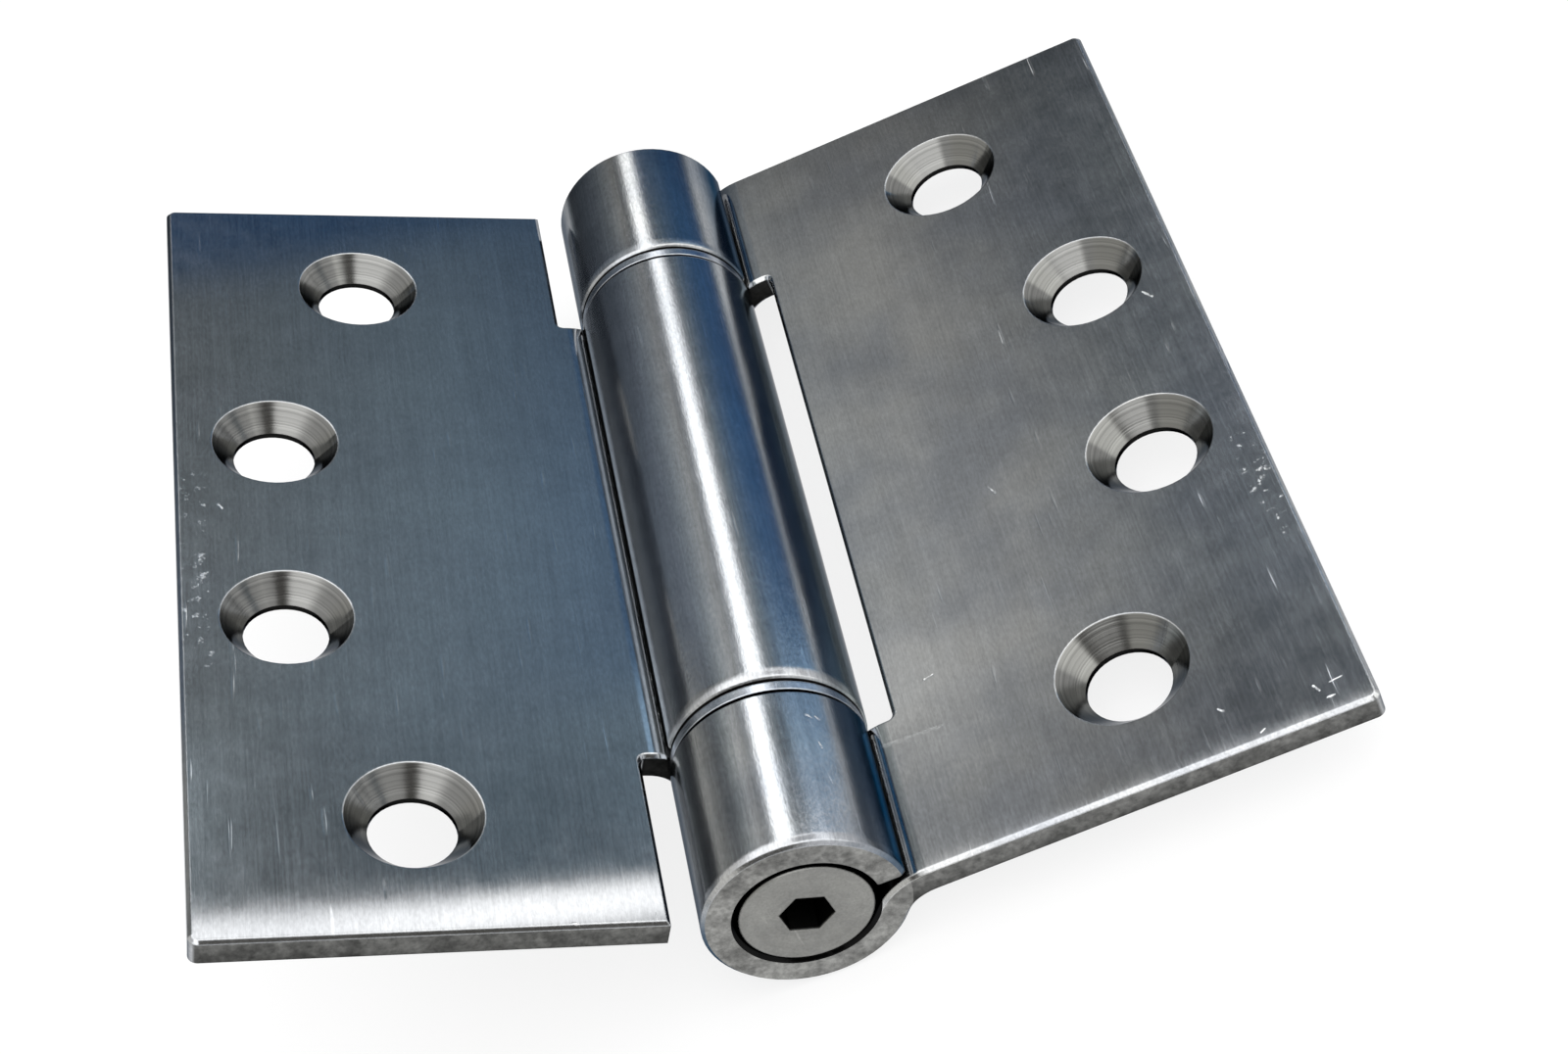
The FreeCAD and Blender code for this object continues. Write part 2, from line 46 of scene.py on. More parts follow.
# Near black painted as shade at the joints and inside the bores.
PAINTED_SHADE_BLACK = (0.01, 0.01, 0.01)
NUMBER, VECTOR = "NodeSocketFloat", "NodeSocketVector"

Colour = tuple[float, float, float]
Place = tuple[float, float, float]
Stop = tuple[float, Colour]
Span = tuple[float, float, float]
Socket = bpy.types.NodeSocket
Source = Socket | float | tuple


class Side(Enum):
    """Which way a leaf reaches out from the pin axis."""

    FRAME = 1
    DOOR = -1


class Body(Enum):
    """The bodies of the mechanism."""

    FRAME = "frame_side"
    DOOR = "door_side"
    TENSION = "tension_side"


class Wiring:
    """Places and joins the nodes of one node tree."""

    def __init__(self, tree: bpy.types.NodeTree) -> None:
        """Takes the tree that is to be filled."""
        self.tree = tree

    @classmethod
    def cleared(cls, owner: bpy.types.Material | bpy.types.World) -> "Wiring":
        """Wiring of a material or world whose first nodes have been cleared."""
        owner.use_nodes = True
        owner.node_tree.nodes.clear()
        return cls(owner.node_tree)

    def add(self, kind: str, inputs: dict | None = None, **attributes: str | int | bpy.types.NodeTree
            ) -> bpy.types.Node:
        """Adds a node.

        Args:
            kind: the node's type name.
            inputs: for an input's name or number, a value or the socket that feeds it.
            attributes: settings of the node itself.

        Returns:
            The new node.
        """
        node = self.tree.nodes.new(kind)
        for name, value in attributes.items():
            setattr(node, name, value)
        for name, value in (inputs or {}).items():
            self.feed(node.inputs[name], value)
        return node

    def feed(self, socket: Socket, value: Source) -> None:
        """Links a socket to another, or sets its value."""
        if isinstance(value, bpy.types.NodeSocket):
            self.tree.links.new(value, socket)
        else:
            socket.default_value = value

    def calc(self, operation: str, first: Source, second: Source = 0.0, clamp: bool = False) -> Socket:
        """Result of a Math node of two values or sockets."""
        node = self.add("ShaderNodeMath", {0: first, 1: second}, operation=operation, use_clamp=clamp)
        return node.outputs[0]

    def times(self, first: Source, *others: Source) -> Source:
        """Product of several values."""
        for other in others:
            first = self.calc("MULTIPLY", first, other)
        return first

    def but(self, mask: Source) -> Socket:
        """Mask of everything that another mask leaves out."""
        return self.calc("SUBTRACT", 1.0, mask)

    def vector(self, operation: str, first: Source, second: Source = (0.0, 0.0, 0.0)) -> bpy.types.Node:
        """A Vector Math node of two vectors or sockets."""
        return self.add("ShaderNodeVectorMath", {0: first, 1: second}, operation=operation)

    def part(self, vector: Socket, axis: str) -> Socket:
        """One coordinate of a vector."""
        return self.add("ShaderNodeSeparateXYZ", {"Vector": vector}).outputs[axis]

    def off_axis(self, place: Socket) -> Socket:
        """Distance of a place from the pin axis."""
        across = self.vector("MULTIPLY", place, (1.0, 0.0, 1.0)).outputs[0]
        return self.vector("LENGTH", across).outputs["Value"]

    def spread(self, value: Source, low: Source, high: Source, to_low: float = 0.0, to_high: float = 1.0,
               smooth: bool = False) -> Socket:
        """Value moved from one range to another and clamped to it."""
        kind = "SMOOTHSTEP" if smooth else "LINEAR"
        inputs = {"Value": value, "From Min": low, "From Max": high, "To Min": to_low, "To Max": to_high}
        return self.add("ShaderNodeMapRange", inputs, interpolation_type=kind).outputs["Result"]

    def within(self, value: Source, low: float, high: float, soft: float) -> Socket:
        """Mask that is 1 where a value lies between two limits, with soft edges outside them."""
        return self.times(self.spread(value, low - soft, low), self.spread(value, high + soft, high))

    def blend(self, factor: Source, first: Source, second: Source) -> Socket:
        """Colour mixed from two colours."""
        node = self.add("ShaderNodeMix", data_type="RGBA")
        self.feed(node.inputs["Factor"], factor)
        self.feed(node.inputs[6], (*first, 1.0) if isinstance(first, tuple) else first)
        self.feed(node.inputs[7], (*second, 1.0) if isinstance(second, tuple) else second)
        return node.outputs[2]

    def shift(self, factor: Source, first: Source, second: Source) -> Socket:
        """Vector mixed from two vectors."""
        node = self.add("ShaderNodeMix", {0: factor, 4: first, 5: second}, data_type="VECTOR")
        return node.outputs[1]

    def scaled(self, colour: Source, factor: Source) -> Socket:
        """Colour made lighter or darker by a factor."""
        node = self.add("ShaderNodeVectorMath", {0: colour, "Scale": factor}, operation="SCALE")
        return node.outputs[0]

    def ramp(self, value: Source, stops: Sequence[Stop]) -> Socket:
        """Colour read from a ramp, whose stops say at which value each colour stands."""
        low, high = stops[0][0], stops[-1][0]
        node = self.add("ShaderNodeValToRGB", {0: self.spread(value, low, high)})
        ends = node.color_ramp.elements
        while len(ends) < len(stops):
            ends.new(0.5)
        for end, (place, colour) in zip(ends, stops):
            end.position = (place - low) / (high - low)
            end.color = (*colour, 1.0)
        return node.outputs["Color"]

    def noise(self, vector: Socket, scale: Source, detail: float = 2.0, roughness: float = 0.5) -> Socket:
        """Value of a noise texture, from 0 to 1."""
        inputs = {"Vector": vector, "Scale": scale, "Detail": detail, "Roughness": roughness}
        return self.add("ShaderNodeTexNoise", inputs).outputs["Fac"]

    def group(self, effect: bpy.types.NodeTree, inputs: dict[str, Source]) -> bpy.types.Node:
        """Places a shared effect."""
        return self.add("ShaderNodeGroup", inputs, node_tree=effect)


def new_effect(name: str, inputs: dict[str, str], outputs: dict[str, str]) -> tuple[
        Wiring, dict[str, Socket], dict[str, Socket]]:
    """Starts a shared effect.

    Args:
        name: name of the node group.
        inputs: socket type of each input.
        outputs: socket type of each output.

    Returns:
        The wiring of the group, its input sockets by name, and its output sockets by name.
    """
    tree = bpy.data.node_groups.new(name, "ShaderNodeTree")
    for label, kind in inputs.items():
        tree.interface.new_socket(label, in_out="INPUT", socket_type=kind)
    for label, kind in outputs.items():
        tree.interface.new_socket(label, in_out="OUTPUT", socket_type=kind)
    wiring = Wiring(tree)
    start, end = wiring.add("NodeGroupInput"), wiring.add("NodeGroupOutput")
    return wiring, dict(start.outputs.items()), dict(end.inputs.items())


@dataclass
class Effects:
    """Effects that several finishes share.

    Attributes:
        grain: brushed lines.
        clouds: soft patches and mottling.
        scratches: hairline scratches.
        tool_marks: turned rings.
        nick: one ragged mark.
    """

    grain: bpy.types.NodeTree = field(init=False)
    clouds: bpy.types.NodeTree = field(init=False)
    scratches: bpy.types.NodeTree = field(init=False)
    tool_marks: bpy.types.NodeTree = field(init=False)
    nick: bpy.types.NodeTree = field(init=False)

    def __post_init__(self) -> None:
        """Builds each effect once."""
        self.grain = self.build_grain()
        self.clouds = self.build_clouds()
        self.scratches = self.build_scratches()
        self.tool_marks = self.build_tool_marks()
        self.nick = self.build_nick()

    @staticmethod
    def build_grain() -> bpy.types.NodeTree:
        """Fine brushed lines along Y, broad and fine ones laid over each other."""
        wiring, given, result = new_effect(
            "brushed_grain", {"Vector": VECTOR, "Lines per metre": NUMBER, "Length": NUMBER},
            {"Lines": NUMBER, "Streaks": NUMBER, "Ripples": NUMBER})
        along = wiring.calc("DIVIDE", 1.0, given["Length"])
        stretch = wiring.add("ShaderNodeCombineXYZ", {
            "X": given["Lines per metre"], "Y": along, "Z": given["Lines per metre"]}).outputs[0]
        stretched = wiring.vector("MULTIPLY", given["Vector"], stretch).outputs[0]
        wiring.feed(result["Lines"], wiring.noise(stretched, 1.0, 3.0, 0.7))
        wide = wiring.vector("MULTIPLY", stretched, (0.24, 0.45, 0.24)).outputs[0]
        wiring.feed(result["Streaks"], wiring.noise(wide, 1.0, 2.0, 0.5))
        ripples = wiring.vector("MULTIPLY", given["Vector"], (4200.0, 1500.0, 4200.0)).outputs[0]
        wiring.feed(result["Ripples"], wiring.noise(ripples, 1.0, 2.0, 0.6))
        return wiring.tree

    @staticmethod
    def build_clouds() -> bpy.types.NodeTree:
        """Soft patches left by rolling, handling and wiping."""
        wiring, given, result = new_effect(
            "cloudy_patches", {"Vector": VECTOR, "Patches per metre": NUMBER},
            {"Patches": NUMBER, "Mottle": NUMBER})
        patches = wiring.noise(given["Vector"], given["Patches per metre"], 3.0, 0.55)
        wiring.feed(result["Patches"], wiring.spread(patches, 0.3, 0.7, smooth=True))
        mottle = wiring.noise(given["Vector"], wiring.times(given["Patches per metre"], 5.0), 4.0, 0.65)
        wiring.feed(result["Mottle"], wiring.spread(mottle, 0.3, 0.7))
        return wiring.tree

    @staticmethod
    def build_scratches() -> bpy.types.NodeTree:
        """Sparse hairline scratches in three directions."""
        wiring, given, result = new_effect("hairline_scratches", {"Vector": VECTOR, "Amount": NUMBER},
                                           {"Scratches": NUMBER})
        total = 0.0
        for turn, seed in ((24.0, 0.3), (-38.0, 1.7), (71.0, 4.1)):
            turned = wiring.add("ShaderNodeMapping", {
                "Vector": given["Vector"], "Location": (seed, -seed, 0.0),
                "Rotation": (0.0, 0.0, math.radians(turn)), "Scale": (1900.0, 110.0, 200.0)}).outputs[0]
            thin = wiring.spread(wiring.noise(turned, 1.0, 0.0, 0.4), 0.78, 0.83)
            patch = wiring.spread(wiring.noise(given["Vector"], 90.0 + turn), 0.5, 0.62)
            total = wiring.calc("ADD", total, wiring.times(thin, patch))
        wiring.feed(result["Scratches"], wiring.calc("MULTIPLY", total, given["Amount"], clamp=True))
        return wiring.tree

    @staticmethod
    def build_tool_marks() -> bpy.types.NodeTree:
        """Rings left by a turning tool, at a distance from the centre that turns."""
        wiring, given, result = new_effect(
            "tool_marks", {"Distance": NUMBER, "Rings per metre": NUMBER}, {"Rings": NUMBER})
        steps = wiring.times(given["Distance"], given["Rings per metre"])
        line = wiring.add("ShaderNodeCombineXYZ", {"X": steps}).outputs[0]
        wiring.feed(result["Rings"], wiring.noise(line, 1.0, 2.0, 0.6))
        return wiring.tree

    @staticmethod
    def build_nick() -> bpy.types.NodeTree:
        """One ragged straight mark between two places."""
        wiring, given, result = new_effect(
            "nick", {"Vector": VECTOR, "Start": VECTOR, "End": VECTOR, "Width": NUMBER, "Strength": NUMBER},
            {"Mark": NUMBER})
        reach = wiring.vector("SUBTRACT", given["End"], given["Start"]).outputs[0]
        offset = wiring.vector("SUBTRACT", given["Vector"], given["Start"]).outputs[0]
        share = wiring.calc("DIVIDE", wiring.vector("DOT_PRODUCT", offset, reach).outputs["Value"],
                            wiring.vector("DOT_PRODUCT", reach, reach).outputs["Value"], clamp=True)
        nearest = wiring.scaled(reach, share)
        away = wiring.vector("DISTANCE", offset, nearest).outputs["Value"]
        ragged = wiring.spread(wiring.noise(given["Vector"], 1600.0, 2.0, 0.6), 0.3, 0.7, 0.35, 1.5)
        inner = wiring.calc("DIVIDE", away, wiring.times(given["Width"], ragged))
        broken = wiring.spread(wiring.noise(given["Vector"], 2600.0, 1.0, 0.5), 0.4, 0.55, 0.45, 1.0)
        mark = wiring.times(wiring.spread(inner, 1.0, 0.35), broken, given["Strength"])
        wiring.feed(result["Mark"], mark)
        return wiring.tree


@dataclass(frozen=True)
class Nick:
    """A scratch or nick between two places on the level leaf, all in millimetres.

    Attributes:
        start: one end of it.
        end: the other end.
        width: half its mean width.
        strength: how plain it is.
    """

    start: Place
    end: Place
    width: float = 0.12
    strength: float = 0.7


@dataclass(frozen=True)
class Steel:
    """Brushed or turned stainless steel.

    Attributes:
        name: name of the material.
        colour: colour of the clean metal.
        tint: colour of the duller patches.
        roughness: mean roughness.
        lines: brushed lines per metre across the grain.
        length: how long a line is.
        grain_tone: how far the lines change the colour.
        streak_tone: how far the broader streaks change it.
        mottle_tone: how far the mottled patches change it.
        fine_tone: how far the finest grain changes it.
        grain_height: height of the lines.
        patches: patches per metre.
        patch_tone: how far the patches change the roughness.
        scratch_amount: how plain the hairline scratches are.
        scratch_depth: how deep they are.
        spread_across: how much more the grain blurs a reflection across it than along it.
        edge_round: how far an edge's rounding reaches.
        crevice_shade_reach: how near another surface must come for painted shade to darken this one.
        edge_tint: colour of what the metal mirrors at a glancing angle.
    """

    name: str
    colour: Colour
    tint: Colour
    roughness: float = 0.09
    lines: float = 4600.0
    length: float = 0.011
    grain_tone: float = 0.12
    streak_tone: float = 0.05
    mottle_tone: float = 0.05
    fine_tone: float = 0.14
    grain_height: float = 0.8e-6
    patches: float = 70.0
    patch_tone: float = 0.012
    scratch_amount: float = 0.7
    scratch_depth: float = 6e-6
    spread_across: float = 0.75
    edge_round: float = 0.22 * MILLIMETRE
    crevice_shade_reach: float = 0.9 * MILLIMETRE
    edge_tint: Colour = (0.25, 0.27, 0.3)

    def surface(self, effects: Effects, wiring: Wiring) -> dict[str, Socket]:
        """Colour, roughness and height of the brushed surface.

        Args:
            effects: the shared effects.
            wiring: wiring of the material.

        Returns:
            The sockets of the object coordinates, the colour, the roughness, the height, the grain's ripples
            and streaks, and the grain's direction.
        """
        spot = wiring.add("ShaderNodeTexCoord").outputs["Object"]
        grain = wiring.group(effects.grain, {
            "Vector": spot, "Lines per metre": self.lines, "Length": self.length})
        clouds = wiring.group(effects.clouds, {"Vector": spot, "Patches per metre": self.patches})
        hairlines = wiring.group(effects.scratches, {"Vector": spot, "Amount": self.scratch_amount})
        lines, streaks, ripples = (grain.outputs[name] for name in ("Lines", "Streaks", "Ripples"))
        patches, mottle = clouds.outputs["Patches"], clouds.outputs["Mottle"]
        scratches = hairlines.outputs["Scratches"]
        base = wiring.blend(patches, self.colour, self.tint)
        tone = wiring.calc("ADD", wiring.spread(lines, 0.2, 0.8, -self.grain_tone, self.grain_tone),
                           wiring.spread(streaks, 0.25, 0.75, 1 - self.streak_tone, 1 + self.streak_tone))
        tone = wiring.calc("ADD", tone, wiring.spread(mottle, 0.0, 1.0, -self.mottle_tone, self.mottle_tone))
        tone = wiring.calc("ADD", tone, wiring.spread(ripples, 0.2, 0.8, -self.fine_tone, self.fine_tone))
        base = wiring.scaled(base, wiring.calc("ADD", tone, wiring.times(scratches, 0.3)))
        rough = wiring.spread(patches, 0.0, 1.0, self.roughness - self.patch_tone,
                              self.roughness + self.patch_tone)
        rough = wiring.calc("ADD", rough, wiring.spread(mottle, 0.0, 1.0, -0.012, 0.012))
        rough = wiring.calc("ADD", rough, wiring.spread(lines, 0.2, 0.8, -0.01, 0.01))
        height = wiring.calc("SUBTRACT", wiring.times(lines, self.grain_height),
                             wiring.times(scratches, self.scratch_depth))
        return {"spot": spot, "colour": base, "roughness": rough, "height": height,
                "ripples": ripples, "streaks": streaks, "grain_way": self.grain_way(wiring, spot)}

    def grain_way(self, wiring: Wiring, spot: Socket) -> Socket:
        """Direction in which the surface was brushed: along the pin axis."""
        return wiring.add("ShaderNodeCombineXYZ", {"X": 0.02, "Y": 1.0, "Z": 0.03}).outputs[0]

    def shade(self, wiring: Wiring, parts: dict[str, Socket]) -> None:
        """Joins the sockets to a Principled shader and the material's output.

        Args:
            wiring: wiring of the material.
            parts: what surface() returned.
        """
        rounded = wiring.add("ShaderNodeBevel", {"Radius": self.edge_round}, samples=6)
        bump = wiring.add("ShaderNodeBump", {
            "Strength": 1.0, "Distance": 1.0, "Height": parts["height"], "Normal": rounded.outputs["Normal"]})
        # Painted shade: the colour darkens to near black where another surface is near, in seams, gaps, bores
        # and sockets.
        occlusion_shade = wiring.add("ShaderNodeAmbientOcclusion", {"Distance": self.crevice_shade_reach}, samples=8)
        colour = wiring.scaled(parts["colour"], wiring.spread(occlusion_shade.outputs["AO"], 0.25, 0.65, 0.02, 1.0))
        world_way = wiring.add(
            "ShaderNodeVectorTransform", {"Vector": parts["grain_way"]}, vector_type="VECTOR",
            convert_from="OBJECT", convert_to="WORLD").outputs[0]
        shader = wiring.add("ShaderNodeBsdfPrincipled", {
            "Base Color": colour, "Metallic": 1.0, "Roughness": parts["roughness"],
            "Normal": bump.outputs["Normal"], "Anisotropic": self.spread_across, "Anisotropic Rotation": 0.25,
            "Specular Tint": (*self.edge_tint, 1.0), "Tangent": world_way})
        wiring.add("ShaderNodeOutputMaterial", {"Surface": shader.outputs[0]})

    def material(self, effects: Effects) -> bpy.types.Material:
        """The finished material."""
        made = bpy.data.materials.new(self.name)
        wiring = Wiring.cleared(made)
        self.shade(wiring, self.surface(effects, wiring))
        return made


@dataclass(frozen=True)
class TurnedSteel(Steel):
    """Steel turned on a lathe about the pin axis, with painted shade darkening it behind its open face.

    Attributes:
        open_face: how far the open face stands from the middle of the hinge.
        behind_face_shade: share of the colour that the painted shade leaves behind the face.
        rings: turned rings per metre.
        ring_height: height of those rings.
    """

    open_face: float = 0.0508
    behind_face_shade: float = 0.06
    rings: float = 2200.0
    ring_height: float = 1.5e-6

    def grain_way(self, wiring: Wiring, spot: Socket) -> Socket:
        """Direction of the tool's travel: round the pin axis."""
        return wiring.vector("CROSS_PRODUCT", (0.0, 1.0, 0.0), spot).outputs[0]

    def surface(self, effects: Effects, wiring: Wiring) -> dict[str, Socket]:
        """Adds faint rings and paints shade on what lies behind the open face."""
        parts = super().surface(effects, wiring)
        along = wiring.calc("ABSOLUTE", wiring.part(parts["spot"], "Y"))
        face = wiring.spread(along, self.open_face - 0.3 * MILLIMETRE, self.open_face - 0.1 * MILLIMETRE)
        rings = wiring.group(effects.tool_marks, {
            "Distance": wiring.off_axis(parts["spot"]), "Rings per metre": self.rings}).outputs["Rings"]
        # Painted shade: behind the open face the colour keeps only a small share.
        tone = wiring.times(wiring.spread(face, 0.0, 1.0, self.behind_face_shade, 1.0),
                            wiring.spread(rings, 0.25, 0.75, 0.94, 1.05))
        height = wiring.calc("ADD", parts["height"], wiring.times(rings, self.ring_height))
        return {**parts, "colour": wiring.scaled(parts["colour"], tone), "height": height}


@dataclass(frozen=True)
class LeafSteel(Steel):
    """Steel of a leaf: brushed face and barrel, matte cut ends, and countersinks turned with a tool.

    Attributes:
        side: which leaf it is.
        tilt: how far the leaf rises from level.
        end_reach: pin axis to the end pair of screw holes.
        middle_reach: pin axis to the middle pair of screw holes.
        pitch: between neighbouring screw holes, along the pin.
        sink_radius: radius of a countersink on the face.
        sink_from: how far from the pin axis the countersinks begin.
        sink_colour: colour of the countersinks.
        sink_rougher: how much rougher they are than the flat leaf.
        sink_rings: turned rings per metre in them.
        ring_height: height of those rings.
        hole_shade_radius: what lies nearer the centre of a screw hole is painted dark as shade inside the
            hole.
        face: height of the countersunk face over the pin axis.
        barrel_radius: outside radius of the knuckle.
        barrel_rougher: how much rougher the knuckle is than the flat leaf.
        ripple_height: height of the ripples on the knuckle.
        out_of_round: slope of the knuckle's surface against a true circle.
        oval_until: angle from upright up to which that slope is full, in radians.
        oval_gone: angle from upright at which it has gone, in radians.
        full_shade_height: height on the knuckle up to which the painted shade and dark reflection on its
            flanks is full.
        unshaded_height: height from which the knuckle has no painted shade.
        flank_shade_tint: share of each colour that the painted shade lets through.
        root_height: height on the leaf's side of the knuckle up to which it has no painted shade.
        end_colour: colour of the knuckle's cut ends.
        leaf_end_colour: colour of the leaf's cut ends.
        end_rougher: how much rougher the cut ends are.
        end_shade: depth under the face at which the painted shade on the leaf's cut ends is darkest, and the
            painted light is brightest.
        shaded_end_reach: cut ends nearer the middle than this get painted shade.
        shaded_end_share: share of its colour that a cut end in painted shade keeps.
        half_height: half the length of the leaf.
        edge_wear: how far the wear of the near edge reaches.
        edge_steep: how steeply the wear falls towards the edge.
        edge_uneven: how far the border of the wear strays.
        bore_shade_radius: what lies nearer the pin axis is painted near black as shade inside the bore.
        buffed_end: place of the knuckle's end that was buffed round.
        buffed_reach: how far the buffing reaches.
        buffed_steep: how steeply the buffed surface falls.
        buffed_uneven: how far the border of the buffing strays.
        buffed_rougher: how much rougher it is there.
        nicks: scratches and nicks.
        nick_colour: colour of the bare metal in them.
        nick_rougher: how much rougher they are.
        nick_depth: how deep they are.
        scuffed: from where to where along the pin the outer edge is scuffed.
        scuffed_reach: from where to where outward it is scuffed.
        knuckle_ends: how far from the middle the knuckle ends at a joint.
        joint_shade_half: half the width of the line of painted shade at a joint.
    """

    side: Side = Side.FRAME
    tilt: float = 0.0
    end_reach: float = 0.0328
    middle_reach: float = 0.0426
    pitch: float = 0.02494
    sink_radius: float = 0.0062
    sink_from: float = 0.015
    sink_colour: Colour = (0.2, 0.2, 0.193)
    sink_rougher: float = 0.05
    sink_rings: float = 3000.0
    ring_height: float = 9e-6
    hole_shade_radius: float = 0.00404
    face: float = -0.0005
    barrel_radius: float = 0.00935
    barrel_rougher: float = 0.06
    ripple_height: float = 6e-6
    out_of_round: float = 0.09
    oval_until: float = 0.35
    oval_gone: float = 1.05
    full_shade_height: float = 0.002
    unshaded_height: float = 0.0071
    flank_shade_tint: Colour = (0.2, 0.27, 0.36)
    root_height: float = 0.3 * MILLIMETRE
    end_colour: Colour = (0.28, 0.28, 0.27)
    leaf_end_colour: Colour = (0.15, 0.15, 0.145)
    end_rougher: float = 0.2
    end_shade: tuple[float, float] = (2.8 * MILLIMETRE, 0.3 * MILLIMETRE)
    shaded_end_reach: float = 0.045
    shaded_end_share: float = 0.12
    half_height: float = 0.0508
    edge_wear: float = 0.0022
    edge_steep: float = 3.0
    edge_uneven: float = 0.2 * MILLIMETRE
    bore_shade_radius: float = 0.00672
    buffed_end: float = 0.0327
    buffed_reach: float = 0.0013
    buffed_steep: float = 50.0
    buffed_uneven: float = 0.03 * MILLIMETRE
    buffed_rougher: float = 0.06
    nicks: tuple[Nick, ...] = ()
    nick_colour: Colour = (0.95, 0.95, 0.94)
    nick_rougher: float = 0.25
    nick_depth: float = 8e-6
    scuffed: tuple[float, float] = (-0.029, -0.016)
    scuffed_reach: tuple[float, float] = (0.0497, 0.0518)
    knuckle_ends: float = 0.0327
    joint_shade_half: float = 0.14 * MILLIMETRE

    def sinks(self, wiring: Wiring, level: Socket) -> dict[str, Socket]:
        """Where the countersinks are, folded onto the nearest screw hole.

        Args:
            wiring: wiring of the material.
            level: place on the leaf, as if it lay level.

        Returns:
            The mask of the countersinks, the distance to the hole's centre and the way round it.
        """
        outward = wiring.calc("ABSOLUTE", wiring.part(level, "X"))
        along = wiring.calc("ABSOLUTE", wiring.part(level, "Y"))
        is_end = wiring.calc("GREATER_THAN", along, self.pitch)
        reach = wiring.spread(is_end, 0.0, 1.0, self.middle_reach, self.end_reach)
        offset_x = wiring.calc("SUBTRACT", outward, reach)
        offset_y = wiring.calc("SUBTRACT", along, wiring.times(wiring.calc("ADD", is_end, 0.5), self.pitch))
        offset = wiring.add("ShaderNodeCombineXYZ", {"X": offset_x, "Y": offset_y}).outputs[0]
        away = wiring.vector("LENGTH", offset).outputs["Value"]
        inside = wiring.calc("LESS_THAN", away, self.sink_radius + SLACK)
        below = wiring.calc("LESS_THAN", wiring.part(level, "Z"), self.face - 0.02 * MILLIMETRE)
        beside = wiring.calc("GREATER_THAN", outward, self.sink_from)
        way_x = wiring.times(offset_y, wiring.calc("SIGN", wiring.part(level, "Y")), -1.0)
        way_y = wiring.times(offset_x, float(self.side.value))
        way = wiring.add("ShaderNodeCombineXYZ", {"X": way_x, "Y": way_y}).outputs[0]
        way = wiring.add("ShaderNodeMapping", {
            "Vector": way, "Rotation": (0.0, math.radians(self.tilt), 0.0)}, vector_type="VECTOR").outputs[0]
        return {"mask": wiring.times(inside, below, beside), "away": away,
                "way": wiring.vector("NORMALIZE", way).outputs[0]}

    def marks(self, effects: Effects, wiring: Wiring, level: Socket) -> Socket:
        """Mask of the nicks and of the scuffed outer edge.

        Args:
            effects: the shared effects.
            wiring: wiring of the material.
            level: place on the leaf, as if it lay level.

        Returns:
            The mask.
        """
        total = 0.0
        for nick in self.nicks:
            start, end = (tuple(number * MILLIMETRE for number in place) for place in (nick.start, nick.end))
            mark = wiring.group(effects.nick, {
                "Vector": level, "Start": start, "End": end, "Width": nick.width * MILLIMETRE,
                "Strength": nick.strength}).outputs["Mark"]
            total = wiring.calc("ADD", total, mark, clamp=True)
        outward = wiring.calc("ABSOLUTE", wiring.part(level, "X"))
        rubbed = wiring.times(wiring.within(outward, *self.scuffed_reach, 0.5 * MILLIMETRE),
                              wiring.within(wiring.part(level, "Y"), *self.scuffed, 2 * MILLIMETRE))
        flecks = wiring.spread(wiring.noise(level, 1100.0, 3.0, 0.6), 0.6, 0.7, 0.0, 0.5)
        return wiring.calc("ADD", total, wiring.times(rubbed, flecks), clamp=True)

    def cut_ends(self, wiring: Wiring, spot: Socket, level: Socket, barrel: Socket) -> Socket:
        """Speckled colour of the cut ends, with painted shade low on the leaf and inside the joints, and
        painted light near the leaf's face.

        Args:
            wiring: wiring of the material.
            spot: place on the piece.
            level: place on the leaf, as if it lay level.
            barrel: mask of the knuckles.

        Returns:
            The colour.
        """
        speckle = wiring.spread(wiring.noise(spot, 1500.0, 3.0, 0.7), 0.3, 0.7, 0.65, 1.3)
        stained = wiring.spread(wiring.noise(spot, 420.0, 3.0, 0.6), 0.35, 0.65, 0.62, 1.2)
        # Painted shade on the cut ends inside the joints, and painted shade low on the leaf's cut ends with
        # painted light near its face.
        inner = wiring.calc("LESS_THAN", wiring.calc("ABSOLUTE", wiring.part(level, "Y")), self.shaded_end_reach)
        shaded = wiring.spread(inner, 0.0, 1.0, 1.0, self.shaded_end_share)
        dark, light = (self.face - depth for depth in self.end_shade)
        lit = wiring.spread(wiring.part(level, "Z"), dark, light, 0.65, 1.3)
        cut = wiring.blend(barrel, wiring.scaled(self.leaf_end_colour, lit), self.end_colour)
        return wiring.scaled(cut, wiring.times(speckle, stained, shaded))

    def lower_flank_shade(self, wiring: Wiring, spot: Socket, level: Socket, barrel: Socket) -> Socket:
        """Share of each colour left by the painted shade and dark reflection low on the knuckle: all of it
        off the knuckle's flanks and at the knuckle's root.

        Args:
            wiring: wiring of the material.
            spot: place on the piece.
            level: place on the leaf, as if it lay level.
            barrel: mask of the knuckles.

        Returns:
            The share of each colour.
        """
        # Painted shade and dark reflection: the knuckle darkens towards its bottom.
        clean = wiring.spread(wiring.part(spot, "Z"), self.full_shade_height, self.unshaded_height, smooth=True)
        outward = wiring.times(wiring.part(level, "X"), float(self.side.value))
        root = wiring.times(wiring.calc("LESS_THAN", wiring.part(level, "Z"), self.root_height),
                            wiring.calc("GREATER_THAN", outward, 0.0))
        shaded_flank = wiring.times(barrel, wiring.but(clean), wiring.but(root))
        return wiring.blend(shaded_flank, (1.0, 1.0, 1.0), self.flank_shade_tint)

